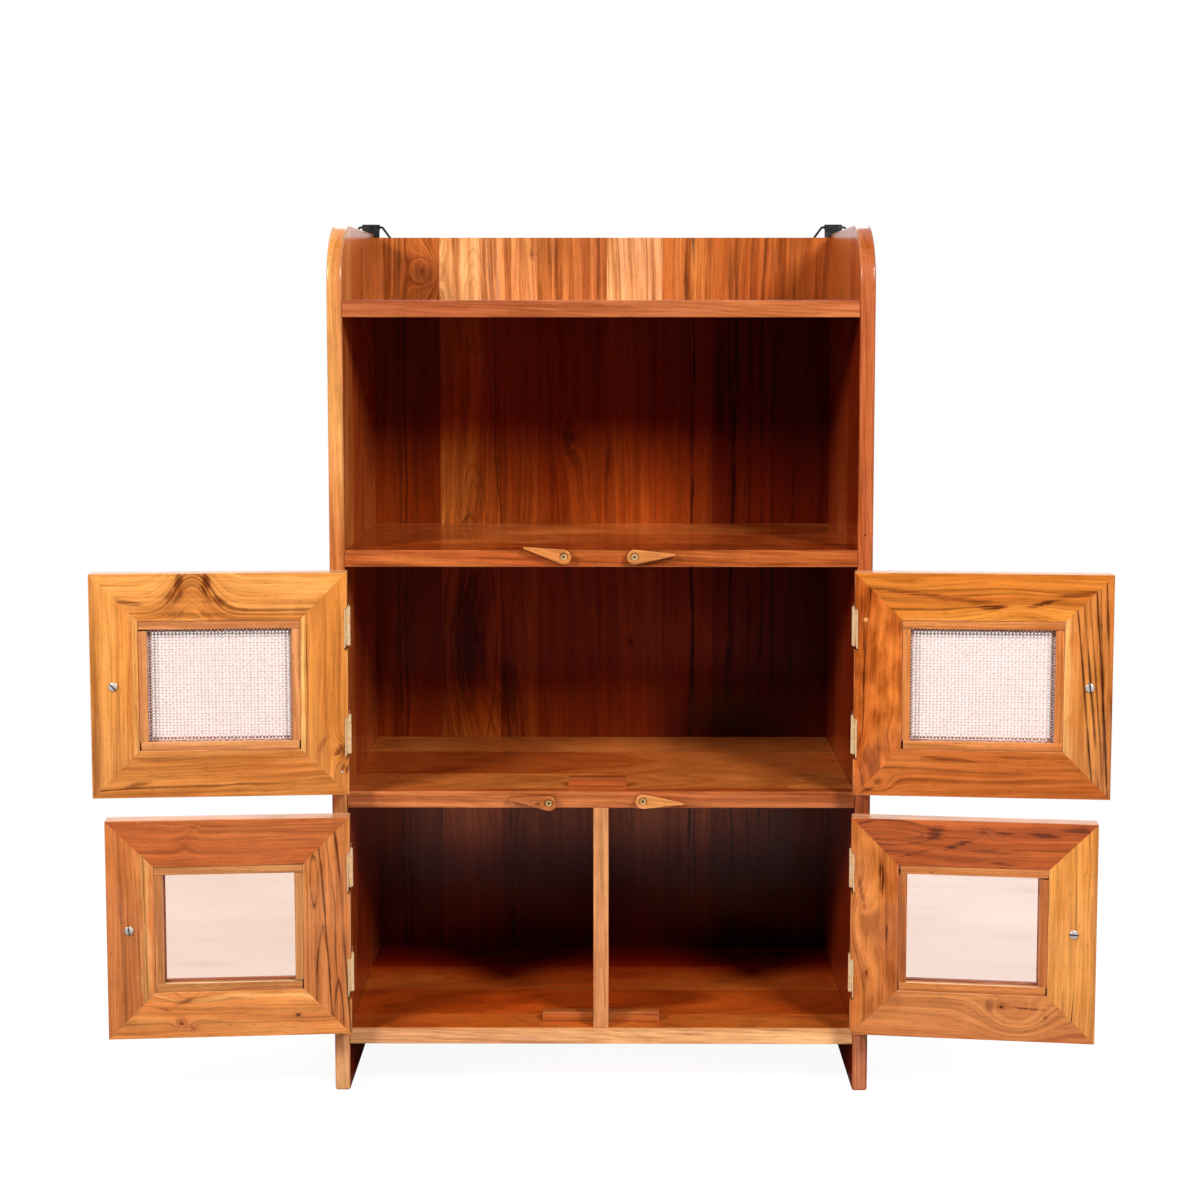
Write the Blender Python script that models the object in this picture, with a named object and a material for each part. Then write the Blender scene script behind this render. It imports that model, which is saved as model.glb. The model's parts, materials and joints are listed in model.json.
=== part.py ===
"""A teak cabinet: a rounded tray on top, an open shelf, a pair of mesh doors and a pair of glass doors below.

Metres, +Z up. The front faces -Y. The four doors rest standing open, and their joints run to closed.
"""

import math

import bmesh
import bpy
from mathutils import Matrix
from mathutils import Vector

# Carcass
WIDTH = 0.610
DEPTH = 0.305
HEIGHT = 0.989
SIDE_THICKNESS = 0.0175
SHELF_THICKNESS = 0.019
BACK_THICKNESS = 0.012
DIVIDER_THICKNESS = 0.0175
TOP_RADIUS = 0.072
BACK_DROP = 0.005
FOOT_HEIGHT = 0.055
LOWER_BAY = 0.256
UPPER_BAY = 0.256
OPEN_BAY = 0.260
HOUSING_DEPTH = 0.006
HOUSING_STOP = 0.015
DIVIDER_HOUSING = 0.005

# Clearances and eased edges
FIT = 0.0003
TURN_CLEARANCE = 0.0005
EASE = 0.001

# Doors, as they hang closed
DOOR_THICKNESS = 0.020
STILE_WIDTH = 0.053
BEAD_WIDTH = 0.0095
LIP_THICKNESS = 0.007
BEAD_SETBACK = 0.0008
GLASS_THICKNESS = 0.003
HINGE_EDGE_GAP = 0.0018
UPPER_DOOR_TOP_GAP = 0.0024
LOWER_DOOR_TOP_GAP = 0.0040
DOOR_BOTTOM_GAP = 0.0026
MEETING_GAP = 0.0050
DIVIDER_GAP = 0.0060
OPEN_ANGLES = {
    "upper_left": 175.9,
    "upper_right": 175.5,
    "lower_left": 175.7,
    "lower_right": 173.4,
}

# Woven wire of the upper doors
NET_THICKNESS = 0.0016
NET_WIRE = 0.0016
NET_COLUMNS = 12
NET_ROWS = 9

# Butt hinges
HINGE_HEIGHT = 0.044
HINGE_FROM_TOP = 0.0635
HINGE_FROM_BOTTOM = 0.0645
KNUCKLES = 5
KNUCKLE_RADIUS = 0.003
KNUCKLE_GAP = 0.0004
BARREL_STANDOFF = 0.0004
LEAF_SETBACK = 0.0012
LEAF_THICKNESS = 0.0012
PIN_RADIUS = 0.00125
PIN_HEAD = 0.0006
MORTISE_OVERRUN = 0.0025

# Knobs and their screws
KNOB_INSET = 0.025
KNOB_LENGTH = 0.024
KNOB_RADIUS = 0.014
KNOB_NECK_RADIUS = 0.0075
KNOB_BORE_DEPTH = 0.013
KNOB_SCREW_RADIUS = 0.0022
KNOB_SCREW_HEAD_RADIUS = 0.005
KNOB_SCREW_HEAD_HEIGHT = 0.0026
KNOB_SCREW_SLOT = 0.0011

# Turn buttons: distance right of the centre plane, rise over the middle of the shelf edge, tip raised by degrees
BUTTON_THICKNESS = 0.008
BUTTON_RADIUS = 0.0085
BUTTON_REACH = 0.045
BUTTON_TIP_RADIUS = 0.0026
BUTTON_SCREW_RADIUS = 0.0018
BUTTON_SCREW_HEAD_RADIUS = 0.0040
BUTTON_SCREW_SINK = 0.0010
BUTTON_SCREW_LENGTH = 0.022
BUTTON_SCREW_SLOT = 0.0009
BUTTONS = {
    "upper_left": (-0.0418, 0.0026, 13.0),
    "upper_right": (0.0376, 0.0026, 3.0),
    "lower_left": (-0.0590, -0.0026, 6.0),
    "lower_right": (0.0473, -0.0003, -3.5),
}

# Door stops
STOP_HEIGHT = 0.0105
STOP_DEPTH = 0.013
STOP_GAP = 0.001
UPPER_STOP_WIDTH = 0.066
UPPER_STOP_SHIFT = -0.004
LOWER_STOP_WIDTH = 0.058

# Wall hangers on the rear edges of the sides
HANGER_WIDTH = 0.022
HANGER_INSET = 0.0135
HANGER_THICKNESS = 0.0016
HANGER_DROP = 0.040
HANGER_EYE_RISE = 0.0085
HANGER_ROLL_DEGREES = 285.0
BAIL_RADIUS = 0.0015
BAIL_PLAY = 0.0007
BAIL_SIDE_GAP = 0.0018
BAIL_LENGTH = 0.018
BAIL_HALF_BASE = 0.0275
BAIL_CORNER = 0.003

# Facets
ROUND_SIDES = 12
KNOB_SIDES = 16
WIRE_SIDES = 8

# Places that follow from the sizes above
INNER_HALF = WIDTH / 2 - SIDE_THICKNESS
BACK_FACE = DEPTH - BACK_THICKNESS
BOTTOM_SHELF_Z = FOOT_HEIGHT
CUPBOARD_SHELF_Z = BOTTOM_SHELF_Z + SHELF_THICKNESS + LOWER_BAY
OPEN_SHELF_Z = CUPBOARD_SHELF_Z + SHELF_THICKNESS + UPPER_BAY
TOP_SHELF_Z = OPEN_SHELF_Z + SHELF_THICKNESS + OPEN_BAY
SHELVES = {
    "bottom_shelf": BOTTOM_SHELF_Z,
    "cupboard_shelf": CUPBOARD_SHELF_Z,
    "open_shelf": OPEN_SHELF_Z,
    "top_shelf": TOP_SHELF_Z,
}
AXIS_OUT = KNUCKLE_RADIUS + BARREL_STANDOFF
LEAF_WIDTH = AXIS_OUT + DOOR_THICKNESS - LEAF_SETBACK
EYE_INNER = BAIL_RADIUS + BAIL_PLAY
EYE_OUTER = EYE_INNER + HANGER_THICKNESS
TO_FRONT = Matrix.Rotation(math.radians(90), 4, "X")


def clear_scene():
    for obj in list(bpy.data.objects):
        bpy.data.objects.remove(obj, do_unlink=True)


def finish_of(name, colour, metallic, roughness, transmission=0.0):
    finish = bpy.data.materials.new(name)
    finish.use_nodes = True
    shader = finish.node_tree.nodes["Principled BSDF"]
    shader.inputs["Base Color"].default_value = (*colour, 1.0)
    shader.inputs["Metallic"].default_value = metallic
    shader.inputs["Roughness"].default_value = roughness
    shader.inputs["Transmission Weight"].default_value = transmission
    return finish


def empty(name, parent, location, turn=0.0):
    helper = bpy.data.objects.new(name, None)
    bpy.context.scene.collection.objects.link(helper)
    helper.parent = parent
    helper.location = location
    helper.rotation_euler.z = turn
    return helper


def add(name, shape, finish, parent, location=(0.0, 0.0, 0.0), turn_y=0.0):
    mesh = bpy.data.meshes.new(name)
    bmesh.ops.recalc_face_normals(shape, faces=shape.faces)
    shape.to_mesh(mesh)
    shape.free()
    obj = bpy.data.objects.new(name, mesh)
    bpy.context.scene.collection.objects.link(obj)
    obj.parent = parent
    obj.location = location
    obj.rotation_euler.y = turn_y
    if finish is not None:
        mesh.materials.append(finish)
    return obj


def combine(obj, shape, operation):
    """Cuts a helper shape, given in the object's own coordinates, from the object or joins it on."""
    helper = add(f"{obj.name}_{operation.lower()}_{len(obj.modifiers)}", shape, None, obj)
    helper.hide_render = True
    helper.display_type = "WIRE"
    modifier = obj.modifiers.new(helper.name, "BOOLEAN")
    modifier.operation = operation
    modifier.solver = "EXACT"
    modifier.object = helper


def placed(axis, along, a, b):
    if axis == "X":
        return (along, a, b)
    if axis == "Y":
        return (a, along, b)
    return (a, b, along)


def prism(points, axis, low, high):
    """A flat outline drawn out along one axis. The outline's two coordinates are the other axes, in order."""
    shape = bmesh.new()
    near = [shape.verts.new(placed(axis, low, a, b)) for a, b in points]
    far = [shape.verts.new(placed(axis, high, a, b)) for a, b in points]
    shape.faces.new(near)
    shape.faces.new(far)
    for i in range(len(points)):
        j = (i + 1) % len(points)
        shape.faces.new((near[i], near[j], far[j], far[i]))
    bmesh.ops.recalc_face_normals(shape, faces=shape.faces)
    return shape


def box(corner, opposite):
    low = [min(a, b) for a, b in zip(corner, opposite)]
    high = [max(a, b) for a, b in zip(corner, opposite)]
    outline = [(low[0], low[1]), (high[0], low[1]), (high[0], high[1]), (low[0], high[1])]
    return prism(outline, "Z", low[2], high[2])


def merged(shapes):
    """Several separate shapes in one mesh, for a helper that cuts in several places."""
    whole = bmesh.new()
    for shape in shapes:
        carrier = bpy.data.meshes.new("carrier")
        shape.to_mesh(carrier)
        shape.free()
        whole.from_mesh(carrier)
        bpy.data.meshes.remove(carrier)
    return whole


def eased(shape, chosen=None):
    """Takes the sharpness off the edges that the test picks, or off all of them."""
    edges = [edge for edge in shape.edges if edge.calc_face_angle(0.0) > math.radians(40)]
    if chosen is not None:
        edges = [edge for edge in edges if chosen(edge.verts[0].co) and chosen(edge.verts[1].co)]
    bmesh.ops.bevel(
        shape,
        geom=edges,
        offset=EASE,
        segments=1,
        profile=0.5,
        affect="EDGES",
        clamp_overlap=True,
    )
    return shape


def turned(profile, sides):
    """A turned shape about Z, from (radius, height) points that start and end on the axis."""
    shape = bmesh.new()
    rings = []
    for radius, height in profile:
        if radius == 0:
            rings.append([shape.verts.new((0.0, 0.0, height))])
            continue
        ring = []
        for i in range(sides):
            angle = 2 * math.pi * (i + 0.5) / sides
            ring.append(shape.verts.new((radius * math.cos(angle), radius * math.sin(angle), height)))
        rings.append(ring)
    for lower, upper in zip(rings, rings[1:]):
        for i in range(sides):
            j = (i + 1) % sides
            corners = (lower[i % len(lower)], lower[j % len(lower)], upper[j % len(upper)], upper[i % len(upper)])
            corners = list(dict.fromkeys(corners))
            if len(corners) > 2:
                shape.faces.new(corners)
    bmesh.ops.recalc_face_normals(shape, faces=shape.faces)
    return shape


def facing_front(shape, offset=(0.0, 0.0, 0.0)):
    """Lays a turned shape's axis along -Y and moves it to its place."""
    bmesh.ops.transform(shape, matrix=Matrix.Translation(Vector(offset)) @ TO_FRONT, verts=shape.verts)
    return shape


def rod(radius, low, high):
    return turned([(0.0, low), (radius, low), (radius, high), (0.0, high)], ROUND_SIDES)


def arc(centre, radius, start, end, steps):
    """Points along an arc, in degrees, both ends included."""
    points = []
    for i in range(steps + 1):
        angle = math.radians(start + (end - start) * i / steps)
        points.append((centre[0] + radius * math.cos(angle), centre[1] + radius * math.sin(angle)))
    return points


def loop_of_wire(points, radius, sides):
    """A closed loop of round wire through points of the XZ plane."""
    shape = bmesh.new()
    rings = []
    for i in range(len(points)):
        before = Vector(points[i - 1])
        after = Vector(points[(i + 1) % len(points)])
        along = (after - before).normalized()
        outward = Vector((along.y, -along.x))
        ring = []
        for k in range(sides):
            angle = 2 * math.pi * k / sides
            spread = outward * radius * math.cos(angle)
            ring.append(shape.verts.new((points[i][0] + spread.x, radius * math.sin(angle), points[i][1] + spread.y)))
        rings.append(ring)
    for i in range(len(rings)):
        first = rings[i]
        second = rings[(i + 1) % len(rings)]
        for k in range(sides):
            m = (k + 1) % sides
            shape.faces.new((first[k], first[m], second[m], second[k]))
    bmesh.ops.recalc_face_normals(shape, faces=shape.faces)
    return shape


def rounded_loop(corners, radius, steps):
    """A closed outline with each corner rounded to the radius."""
    points = []
    for i in range(len(corners)):
        corner = Vector(corners[i])
        back = (Vector(corners[i - 1]) - corner).normalized()
        ahead = (Vector(corners[(i + 1) % len(corners)]) - corner).normalized()
        half = back.angle(ahead) / 2
        centre = corner + (back + ahead).normalized() * radius / math.sin(half)
        start = corner + back * radius / math.tan(half) - centre
        end = corner + ahead * radius / math.tan(half) - centre
        for k in range(steps + 1):
            spoke = start.lerp(end, k / steps).normalized() * radius
            points.append((centre.x + spoke.x, centre.y + spoke.y))
    return points


def side_panels(root, teak):
    """The two sides, rounded at the top front, with a stopped housing for each shelf."""
    outline = [(0.0, 0.0), (DEPTH, 0.0), (DEPTH, HEIGHT)]
    outline += arc((TOP_RADIUS, HEIGHT - TOP_RADIUS), TOP_RADIUS, 90.0, 180.0, 12)
    for name, s in (("left", -1), ("right", 1)):
        low, high = sorted((s * INNER_HALF, s * WIDTH / 2))
        panel = add(f"{name}_side_panel", eased(prism(outline, "X", low, high)), teak, root)
        housings = []
        for z in SHELVES.values():
            near = (s * (INNER_HALF - SIDE_THICKNESS), HOUSING_STOP, z - FIT)
            far = (s * (INNER_HALF + HOUSING_DEPTH), BACK_FACE, z + SHELF_THICKNESS + FIT)
            housings.append(box(near, far))
        combine(panel, merged(housings), "DIFFERENCE")


def back_panel(root, teak):
    near = (-(INNER_HALF - FIT), BACK_FACE, FOOT_HEIGHT)
    far = (INNER_HALF - FIT, DEPTH, HEIGHT - BACK_DROP)
    add("back_panel", eased(box(near, far)), teak, root)


def shelves(root, teak):
    """Each shelf has its ends housed in the sides, behind a stop that hides the joint from the front."""
    face = INNER_HALF - FIT
    tongue = INNER_HALF + HOUSING_DEPTH - FIT
    stop = HOUSING_STOP + FIT
    rear = BACK_FACE - FIT
    outline = [(-face, 0.0), (face, 0.0), (face, stop), (tongue, stop)]
    outline += [(tongue, rear), (-tongue, rear), (-tongue, stop), (-face, stop)]
    made = {}
    for name, z in SHELVES.items():
        board = eased(prism(outline, "Z", z, z + SHELF_THICKNESS), lambda place: place.y < EASE / 2)
        made[name] = add(name, board, teak, root)
    half = DIVIDER_THICKNESS / 2 + FIT
    top_of_bottom = BOTTOM_SHELF_Z + SHELF_THICKNESS
    lower_groove = box((-half, HOUSING_STOP, top_of_bottom - DIVIDER_HOUSING), (half, DEPTH, CUPBOARD_SHELF_Z))
    upper_groove = box((-half, HOUSING_STOP, top_of_bottom), (half, DEPTH, CUPBOARD_SHELF_Z + DIVIDER_HOUSING))
    combine(made["bottom_shelf"], lower_groove, "DIFFERENCE")
    combine(made["cupboard_shelf"], upper_groove, "DIFFERENCE")
    return made


def centre_divider(root, teak):
    low = BOTTOM_SHELF_Z + SHELF_THICKNESS
    high = CUPBOARD_SHELF_Z
    stop = HOUSING_STOP + FIT
    rear = BACK_FACE - FIT
    reach = DIVIDER_HOUSING - FIT
    outline = [(0.0, low + FIT), (stop, low + FIT), (stop, low - reach), (rear, low - reach)]
    outline += [(rear, high + reach), (stop, high + reach), (stop, high - FIT), (0.0, high - FIT)]
    board = prism(outline, "X", -DIVIDER_THICKNESS / 2, DIVIDER_THICKNESS / 2)
    add("centre_divider", eased(board, lambda place: place.y < EASE / 2), teak, root)


def door_stops(root, teak):
    """Small blocks on the shelves, just behind where the closed doors' backs come."""
    front = DOOR_THICKNESS + STOP_GAP
    beside = DIVIDER_THICKNESS / 2 + FIT
    floor = BOTTOM_SHELF_Z + SHELF_THICKNESS + FIT
    middle = CUPBOARD_SHELF_Z + SHELF_THICKNESS + FIT
    left_end = UPPER_STOP_SHIFT - UPPER_STOP_WIDTH / 2
    blocks = {
        "upper_door_stop": (left_end, left_end + UPPER_STOP_WIDTH, middle),
        "lower_left_door_stop": (-beside - LOWER_STOP_WIDTH, -beside, floor),
        "lower_right_door_stop": (beside, beside + LOWER_STOP_WIDTH, floor),
    }
    for name, (low, high, z) in blocks.items():
        block = box((low, front, z), (high, front + STOP_DEPTH, z + STOP_HEIGHT))
        add(name, eased(block), teak, root)


def hangers(root, iron):
    """A strap on the rear edge of each side, rolled into an eye that carries a wire bail."""
    face = DEPTH + FIT
    eye = (face + EYE_OUTER, HEIGHT + HANGER_EYE_RISE)
    end = 180.0 - HANGER_ROLL_DEGREES
    outline = [(face, HEIGHT - HANGER_DROP)]
    outline += arc(eye, EYE_OUTER, 180.0, end, 14)
    outline += arc(eye, EYE_INNER, end, 180.0, 14)
    outline += [(face + HANGER_THICKNESS, HEIGHT - HANGER_DROP)]
    top = HANGER_WIDTH / 2 + BAIL_SIDE_GAP + BAIL_RADIUS
    corners = [(-top, 0.0), (top, 0.0), (BAIL_HALF_BASE, -BAIL_LENGTH), (-BAIL_HALF_BASE, -BAIL_LENGTH)]
    for name, s in (("left", -1), ("right", 1)):
        middle = s * (WIDTH / 2 - HANGER_INSET)
        strap = prism(outline, "X", middle - HANGER_WIDTH / 2, middle + HANGER_WIDTH / 2)
        add(f"{name}_hanger", strap, iron, root)
        wire = loop_of_wire(rounded_loop(corners, BAIL_CORNER, 4), BAIL_RADIUS, WIRE_SIDES)
        add(f"{name}_hanger_bail", wire, iron, root, (middle, *eye))


def screw_slot(radius, width, depth, top):
    """A helper that cuts a straight slot across a screw head whose top is at this height."""
    return box((-2 * radius, -width / 2, top - depth), (2 * radius, width / 2, top + depth))


def turn_buttons(root, made, teak, brass):
    """Drop-shaped buttons on the shelf edges, each turning on its own screw."""
    narrowing = math.degrees(math.acos((BUTTON_RADIUS - BUTTON_TIP_RADIUS) / BUTTON_REACH))
    outline = arc((0.0, 0.0), BUTTON_RADIUS, narrowing, 360.0 - narrowing, 14)
    outline += arc((BUTTON_REACH, 0.0), BUTTON_TIP_RADIUS, -narrowing, narrowing, 5)
    head_top = BUTTON_THICKNESS - BUTTON_SCREW_SINK
    head_low = head_top - (BUTTON_SCREW_HEAD_RADIUS - BUTTON_SCREW_RADIUS)
    hole = BUTTON_SCREW_RADIUS + TURN_CLEARANCE
    mouth = BUTTON_SCREW_HEAD_RADIUS + TURN_CLEARANCE
    profile = [(0.0, -BUTTON_SCREW_LENGTH), (BUTTON_SCREW_RADIUS, -BUTTON_SCREW_LENGTH + 2 * BUTTON_SCREW_RADIUS)]
    profile += [(BUTTON_SCREW_RADIUS, head_low), (BUTTON_SCREW_HEAD_RADIUS, head_top), (0.0, head_top)]
    through = [(0.0, -BUTTON_THICKNESS), (hole, -BUTTON_THICKNESS), (hole, head_low), (mouth, head_top)]
    through += [(mouth, 2 * BUTTON_THICKNESS), (0.0, 2 * BUTTON_THICKNESS)]
    for name, (x, rise, tilt) in BUTTONS.items():
        shelf = "open_shelf" if name.startswith("upper") else "cupboard_shelf"
        z = SHELVES[shelf] + SHELF_THICKNESS / 2 + rise
        pivot = (x, -TURN_CLEARANCE, z)
        turn = math.radians(180.0 + tilt if name.endswith("left") else -tilt)
        body = prism(outline, "Y", -BUTTON_THICKNESS, 0.0)
        body = eased(body, lambda place: place.y < EASE / 2 - BUTTON_THICKNESS)
        button = add(f"{name}_turn_button", body, teak, root, pivot, turn)
        combine(button, facing_front(turned(through, ROUND_SIDES)), "DIFFERENCE")
        screw = add(f"{name}_turn_button_screw", facing_front(turned(profile, ROUND_SIDES)), brass, root, pivot)
        slot = screw_slot(BUTTON_SCREW_HEAD_RADIUS, BUTTON_SCREW_SLOT, BUTTON_SCREW_SLOT, head_top)
        combine(screw, facing_front(slot), "DIFFERENCE")
        pilot = rod(hole, -BUTTON_SCREW_LENGTH - TURN_CLEARANCE, BUTTON_THICKNESS)
        combine(made[shelf], facing_front(pilot, pivot), "DIFFERENCE")


def wire_net(low_u, high_u, low_z, high_z, low_y):
    """A flat woven net as one grid: bars of wire width with evenly spaced gaps between them."""
    gap_u = (high_u - low_u - (NET_COLUMNS + 1) * NET_WIRE) / NET_COLUMNS
    gap_z = (high_z - low_z - (NET_ROWS + 1) * NET_WIRE) / NET_ROWS
    lines_u = [low_u]
    for i in range(NET_COLUMNS):
        lines_u += [low_u + NET_WIRE + i * (gap_u + NET_WIRE), low_u + (i + 1) * (gap_u + NET_WIRE)]
    lines_u.append(high_u)
    lines_z = [low_z]
    for i in range(NET_ROWS):
        lines_z += [low_z + NET_WIRE + i * (gap_z + NET_WIRE), low_z + (i + 1) * (gap_z + NET_WIRE)]
    lines_z.append(high_z)
    shape = bmesh.new()
    grid = [[[shape.verts.new((u, y, z)) for z in lines_z] for u in lines_u] for y in (low_y, low_y + NET_THICKNESS)]

    def solid(i, j):
        inside = 0 <= i < len(lines_u) - 1 and 0 <= j < len(lines_z) - 1
        return inside and not (i % 2 and j % 2)

    for i in range(len(lines_u) - 1):
        for j in range(len(lines_z) - 1):
            if not solid(i, j):
                continue
            for layer in grid:
                shape.faces.new((layer[i][j], layer[i + 1][j], layer[i + 1][j + 1], layer[i][j + 1]))
            ends = {
                (i - 1, j): ((i, j), (i, j + 1)),
                (i + 1, j): ((i + 1, j), (i + 1, j + 1)),
                (i, j - 1): ((i, j), (i + 1, j)),
                (i, j + 1): ((i, j + 1), (i + 1, j + 1)),
            }
            for beyond, ((a, b), (c, d)) in ends.items():
                if not solid(*beyond):
                    shape.faces.new((grid[0][a][b], grid[0][c][d], grid[1][c][d], grid[1][a][b]))
    return shape


def knuckle_span(index):
    step = HINGE_HEIGHT / KNUCKLES
    return index * step, (index + 1) * step


def leaf_of_hinge(s, owned):
    """One leaf about the pin's axis: a plate rolled into a barrel, cut away where the other leaf's knuckles come."""
    outer = KNUCKLE_RADIUS - FIT
    inner = outer - LEAF_THICKNESS
    meets_inner = math.degrees(math.acos(inner / KNUCKLE_RADIUS))
    meets_outer = math.degrees(math.acos(outer / KNUCKLE_RADIUS))
    outline = [(outer, LEAF_WIDTH), (inner, LEAF_WIDTH)]
    outline += arc((0.0, 0.0), KNUCKLE_RADIUS, meets_inner, 360.0 + meets_outer, 11)
    outline = [(s * u, v) for u, v in outline]
    plate = prism(outline, "Z", 0.0, HINGE_HEIGHT)
    around = KNUCKLE_RADIUS + TURN_CLEARANCE
    gaps = []
    for index in range(KNUCKLES):
        if index in owned:
            continue
        low, high = knuckle_span(index)
        low = low - KNUCKLE_GAP / 2 if index else low - KNUCKLE_GAP
        high = high + KNUCKLE_GAP / 2 if index < KNUCKLES - 1 else high + KNUCKLE_GAP
        gaps.append(box((-around, -around, low), (around, around, high)))
    return plate, merged(gaps)


def hinge_of_door(door, s, label, centre, pivot, line, brass):
    """Two leaves: the case leaf carries the pin, the door leaf turns on it."""
    place = (0.0, 0.0, centre - HINGE_HEIGHT / 2)
    even = set(range(0, KNUCKLES, 2))
    odd = set(range(1, KNUCKLES, 2))
    plate, gaps = leaf_of_hinge(-s, even)
    case_leaf = add(f"{door}_{label}_hinge_case_leaf", plate, brass, line, place)
    combine(case_leaf, gaps, "DIFFERENCE")
    combine(case_leaf, rod(PIN_RADIUS, -PIN_HEAD, HINGE_HEIGHT + PIN_HEAD), "UNION")
    plate, gaps = leaf_of_hinge(s, odd)
    door_leaf = add(f"{door}_{label}_hinge_door_leaf", plate, brass, pivot, place)
    combine(door_leaf, gaps, "DIFFERENCE")
    bore = rod(PIN_RADIUS + TURN_CLEARANCE, -HINGE_HEIGHT, 2 * HINGE_HEIGHT)
    combine(door_leaf, bore, "DIFFERENCE")


def knob_of_door(door, place, teak, steel):
    """A turned knob on the outside, held by a screw through the stile from the inside."""
    bore = KNOB_SCREW_RADIUS + TURN_CLEARANCE
    profile = [(0.0, KNOB_BORE_DEPTH), (bore, KNOB_BORE_DEPTH), (bore, FIT), (KNOB_NECK_RADIUS + 0.002, FIT)]
    profile += [(KNOB_NECK_RADIUS, 0.25 * KNOB_LENGTH), (KNOB_NECK_RADIUS + 0.001, 0.38 * KNOB_LENGTH)]
    profile += [(0.93 * KNOB_RADIUS, 0.54 * KNOB_LENGTH), (KNOB_RADIUS, 0.70 * KNOB_LENGTH)]
    profile += [(0.90 * KNOB_RADIUS, 0.87 * KNOB_LENGTH), (0.5 * KNOB_RADIUS, 0.975 * KNOB_LENGTH)]
    profile += [(0.0, KNOB_LENGTH)]
    add(f"{door}_knob", facing_front(turned(profile, KNOB_SIDES)), teak, place)
    under = -DOOR_THICKNESS - FIT
    top = under - KNOB_SCREW_HEAD_HEIGHT
    rim = under - 0.5 * KNOB_SCREW_HEAD_HEIGHT
    screw = [(0.0, top), (0.62 * KNOB_SCREW_HEAD_RADIUS, top + 0.15 * KNOB_SCREW_HEAD_HEIGHT)]
    screw += [(KNOB_SCREW_HEAD_RADIUS, rim), (KNOB_SCREW_HEAD_RADIUS, under), (KNOB_SCREW_RADIUS, under)]
    screw += [(KNOB_SCREW_RADIUS, KNOB_BORE_DEPTH - TURN_CLEARANCE), (0.0, KNOB_BORE_DEPTH - TURN_CLEARANCE)]
    made = add(f"{door}_knob_screw", facing_front(turned(screw, ROUND_SIDES)), steel, place)
    slot = screw_slot(KNOB_SCREW_HEAD_RADIUS, KNOB_SCREW_SLOT, KNOB_SCREW_SLOT, top)
    combine(made, facing_front(slot), "DIFFERENCE")


def door_of(door, root, finishes):
    """One door about its hinge axis: mitred frame, pane or net in a rebate, bead, hinges, knob and screw."""
    upper = door.startswith("upper")
    s = 1 if door.endswith("left") else -1
    shelf_below = CUPBOARD_SHELF_Z if upper else BOTTOM_SHELF_Z
    bay = UPPER_BAY if upper else LOWER_BAY
    middle_gap = MEETING_GAP / 2 if upper else DIVIDER_THICKNESS / 2 + DIVIDER_GAP
    width = INNER_HALF - HINGE_EDGE_GAP - middle_gap
    top_gap = UPPER_DOOR_TOP_GAP if upper else LOWER_DOOR_TOP_GAP
    height = bay - DOOR_BOTTOM_GAP - top_gap
    axis = (-s * (INNER_HALF - KNUCKLE_RADIUS), -AXIS_OUT, shelf_below + SHELF_THICKNESS + DOOR_BOTTOM_GAP)
    pivot = empty(f"{door}_door_pivot", root, axis, -s * math.radians(OPEN_ANGLES[door]))
    line = empty(f"{door}_hinge_line", root, axis)
    edge = HINGE_EDGE_GAP - KNUCKLE_RADIUS
    face = AXIS_OUT
    back = face + DOOR_THICKNESS

    def block(inset, low_y, high_y):
        near = (s * (edge + inset), low_y, inset)
        far = (s * (edge + width - inset), high_y, height - inset)
        return box(near, far)

    sight = STILE_WIDTH + BEAD_WIDTH
    frame = add(f"{door}_door_frame", eased(block(0.0, face, back)), finishes["teak"], pivot)
    combine(frame, block(sight, face - DOOR_THICKNESS, back), "DIFFERENCE")
    combine(frame, block(STILE_WIDTH, face + LIP_THICKNESS, back + DOOR_THICKNESS), "DIFFERENCE")
    seat = face + LIP_THICKNESS + FIT
    pane_inset = STILE_WIDTH + FIT
    if upper:
        thickness = NET_THICKNESS
        low, high = sorted((s * (edge + pane_inset), s * (edge + width - pane_inset)))
        net = wire_net(low, high, pane_inset, height - pane_inset, seat)
        add(f"{door}_door_mesh", net, finishes["steel"], pivot)
    else:
        thickness = GLASS_THICKNESS
        add(f"{door}_door_glass", block(pane_inset, seat, seat + thickness), finishes["glass"], pivot)
    behind = seat + thickness + FIT
    bead = add(f"{door}_door_bead", block(pane_inset, behind, back - BEAD_SETBACK), finishes["teak"], pivot)
    combine(bead, block(sight, face, back + DOOR_THICKNESS), "DIFFERENCE")
    mortises = []
    for label, centre in (("top", height - HINGE_FROM_TOP), ("bottom", HINGE_FROM_BOTTOM)):
        half = HINGE_HEIGHT / 2 + FIT
        near = (s * (edge - KNUCKLE_RADIUS), face - KNUCKLE_RADIUS, centre - half - MORTISE_OVERRUN)
        far = (s * KNUCKLE_RADIUS, back + KNUCKLE_RADIUS, centre + half)
        mortises.append(box(near, far))
        hinge_of_door(door, s, label, centre, pivot, line, finishes["brass"])
    combine(frame, merged(mortises), "DIFFERENCE")
    hub = (s * (edge + width - KNOB_INSET), face, height / 2)
    place = empty(f"{door}_knob_place", pivot, hub)
    hole = rod(KNOB_SCREW_RADIUS + TURN_CLEARANCE, -2 * DOOR_THICKNESS, DOOR_THICKNESS)
    combine(frame, facing_front(hole, hub), "DIFFERENCE")
    knob_of_door(door, place, finishes["teak"], finishes["steel"])


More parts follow.
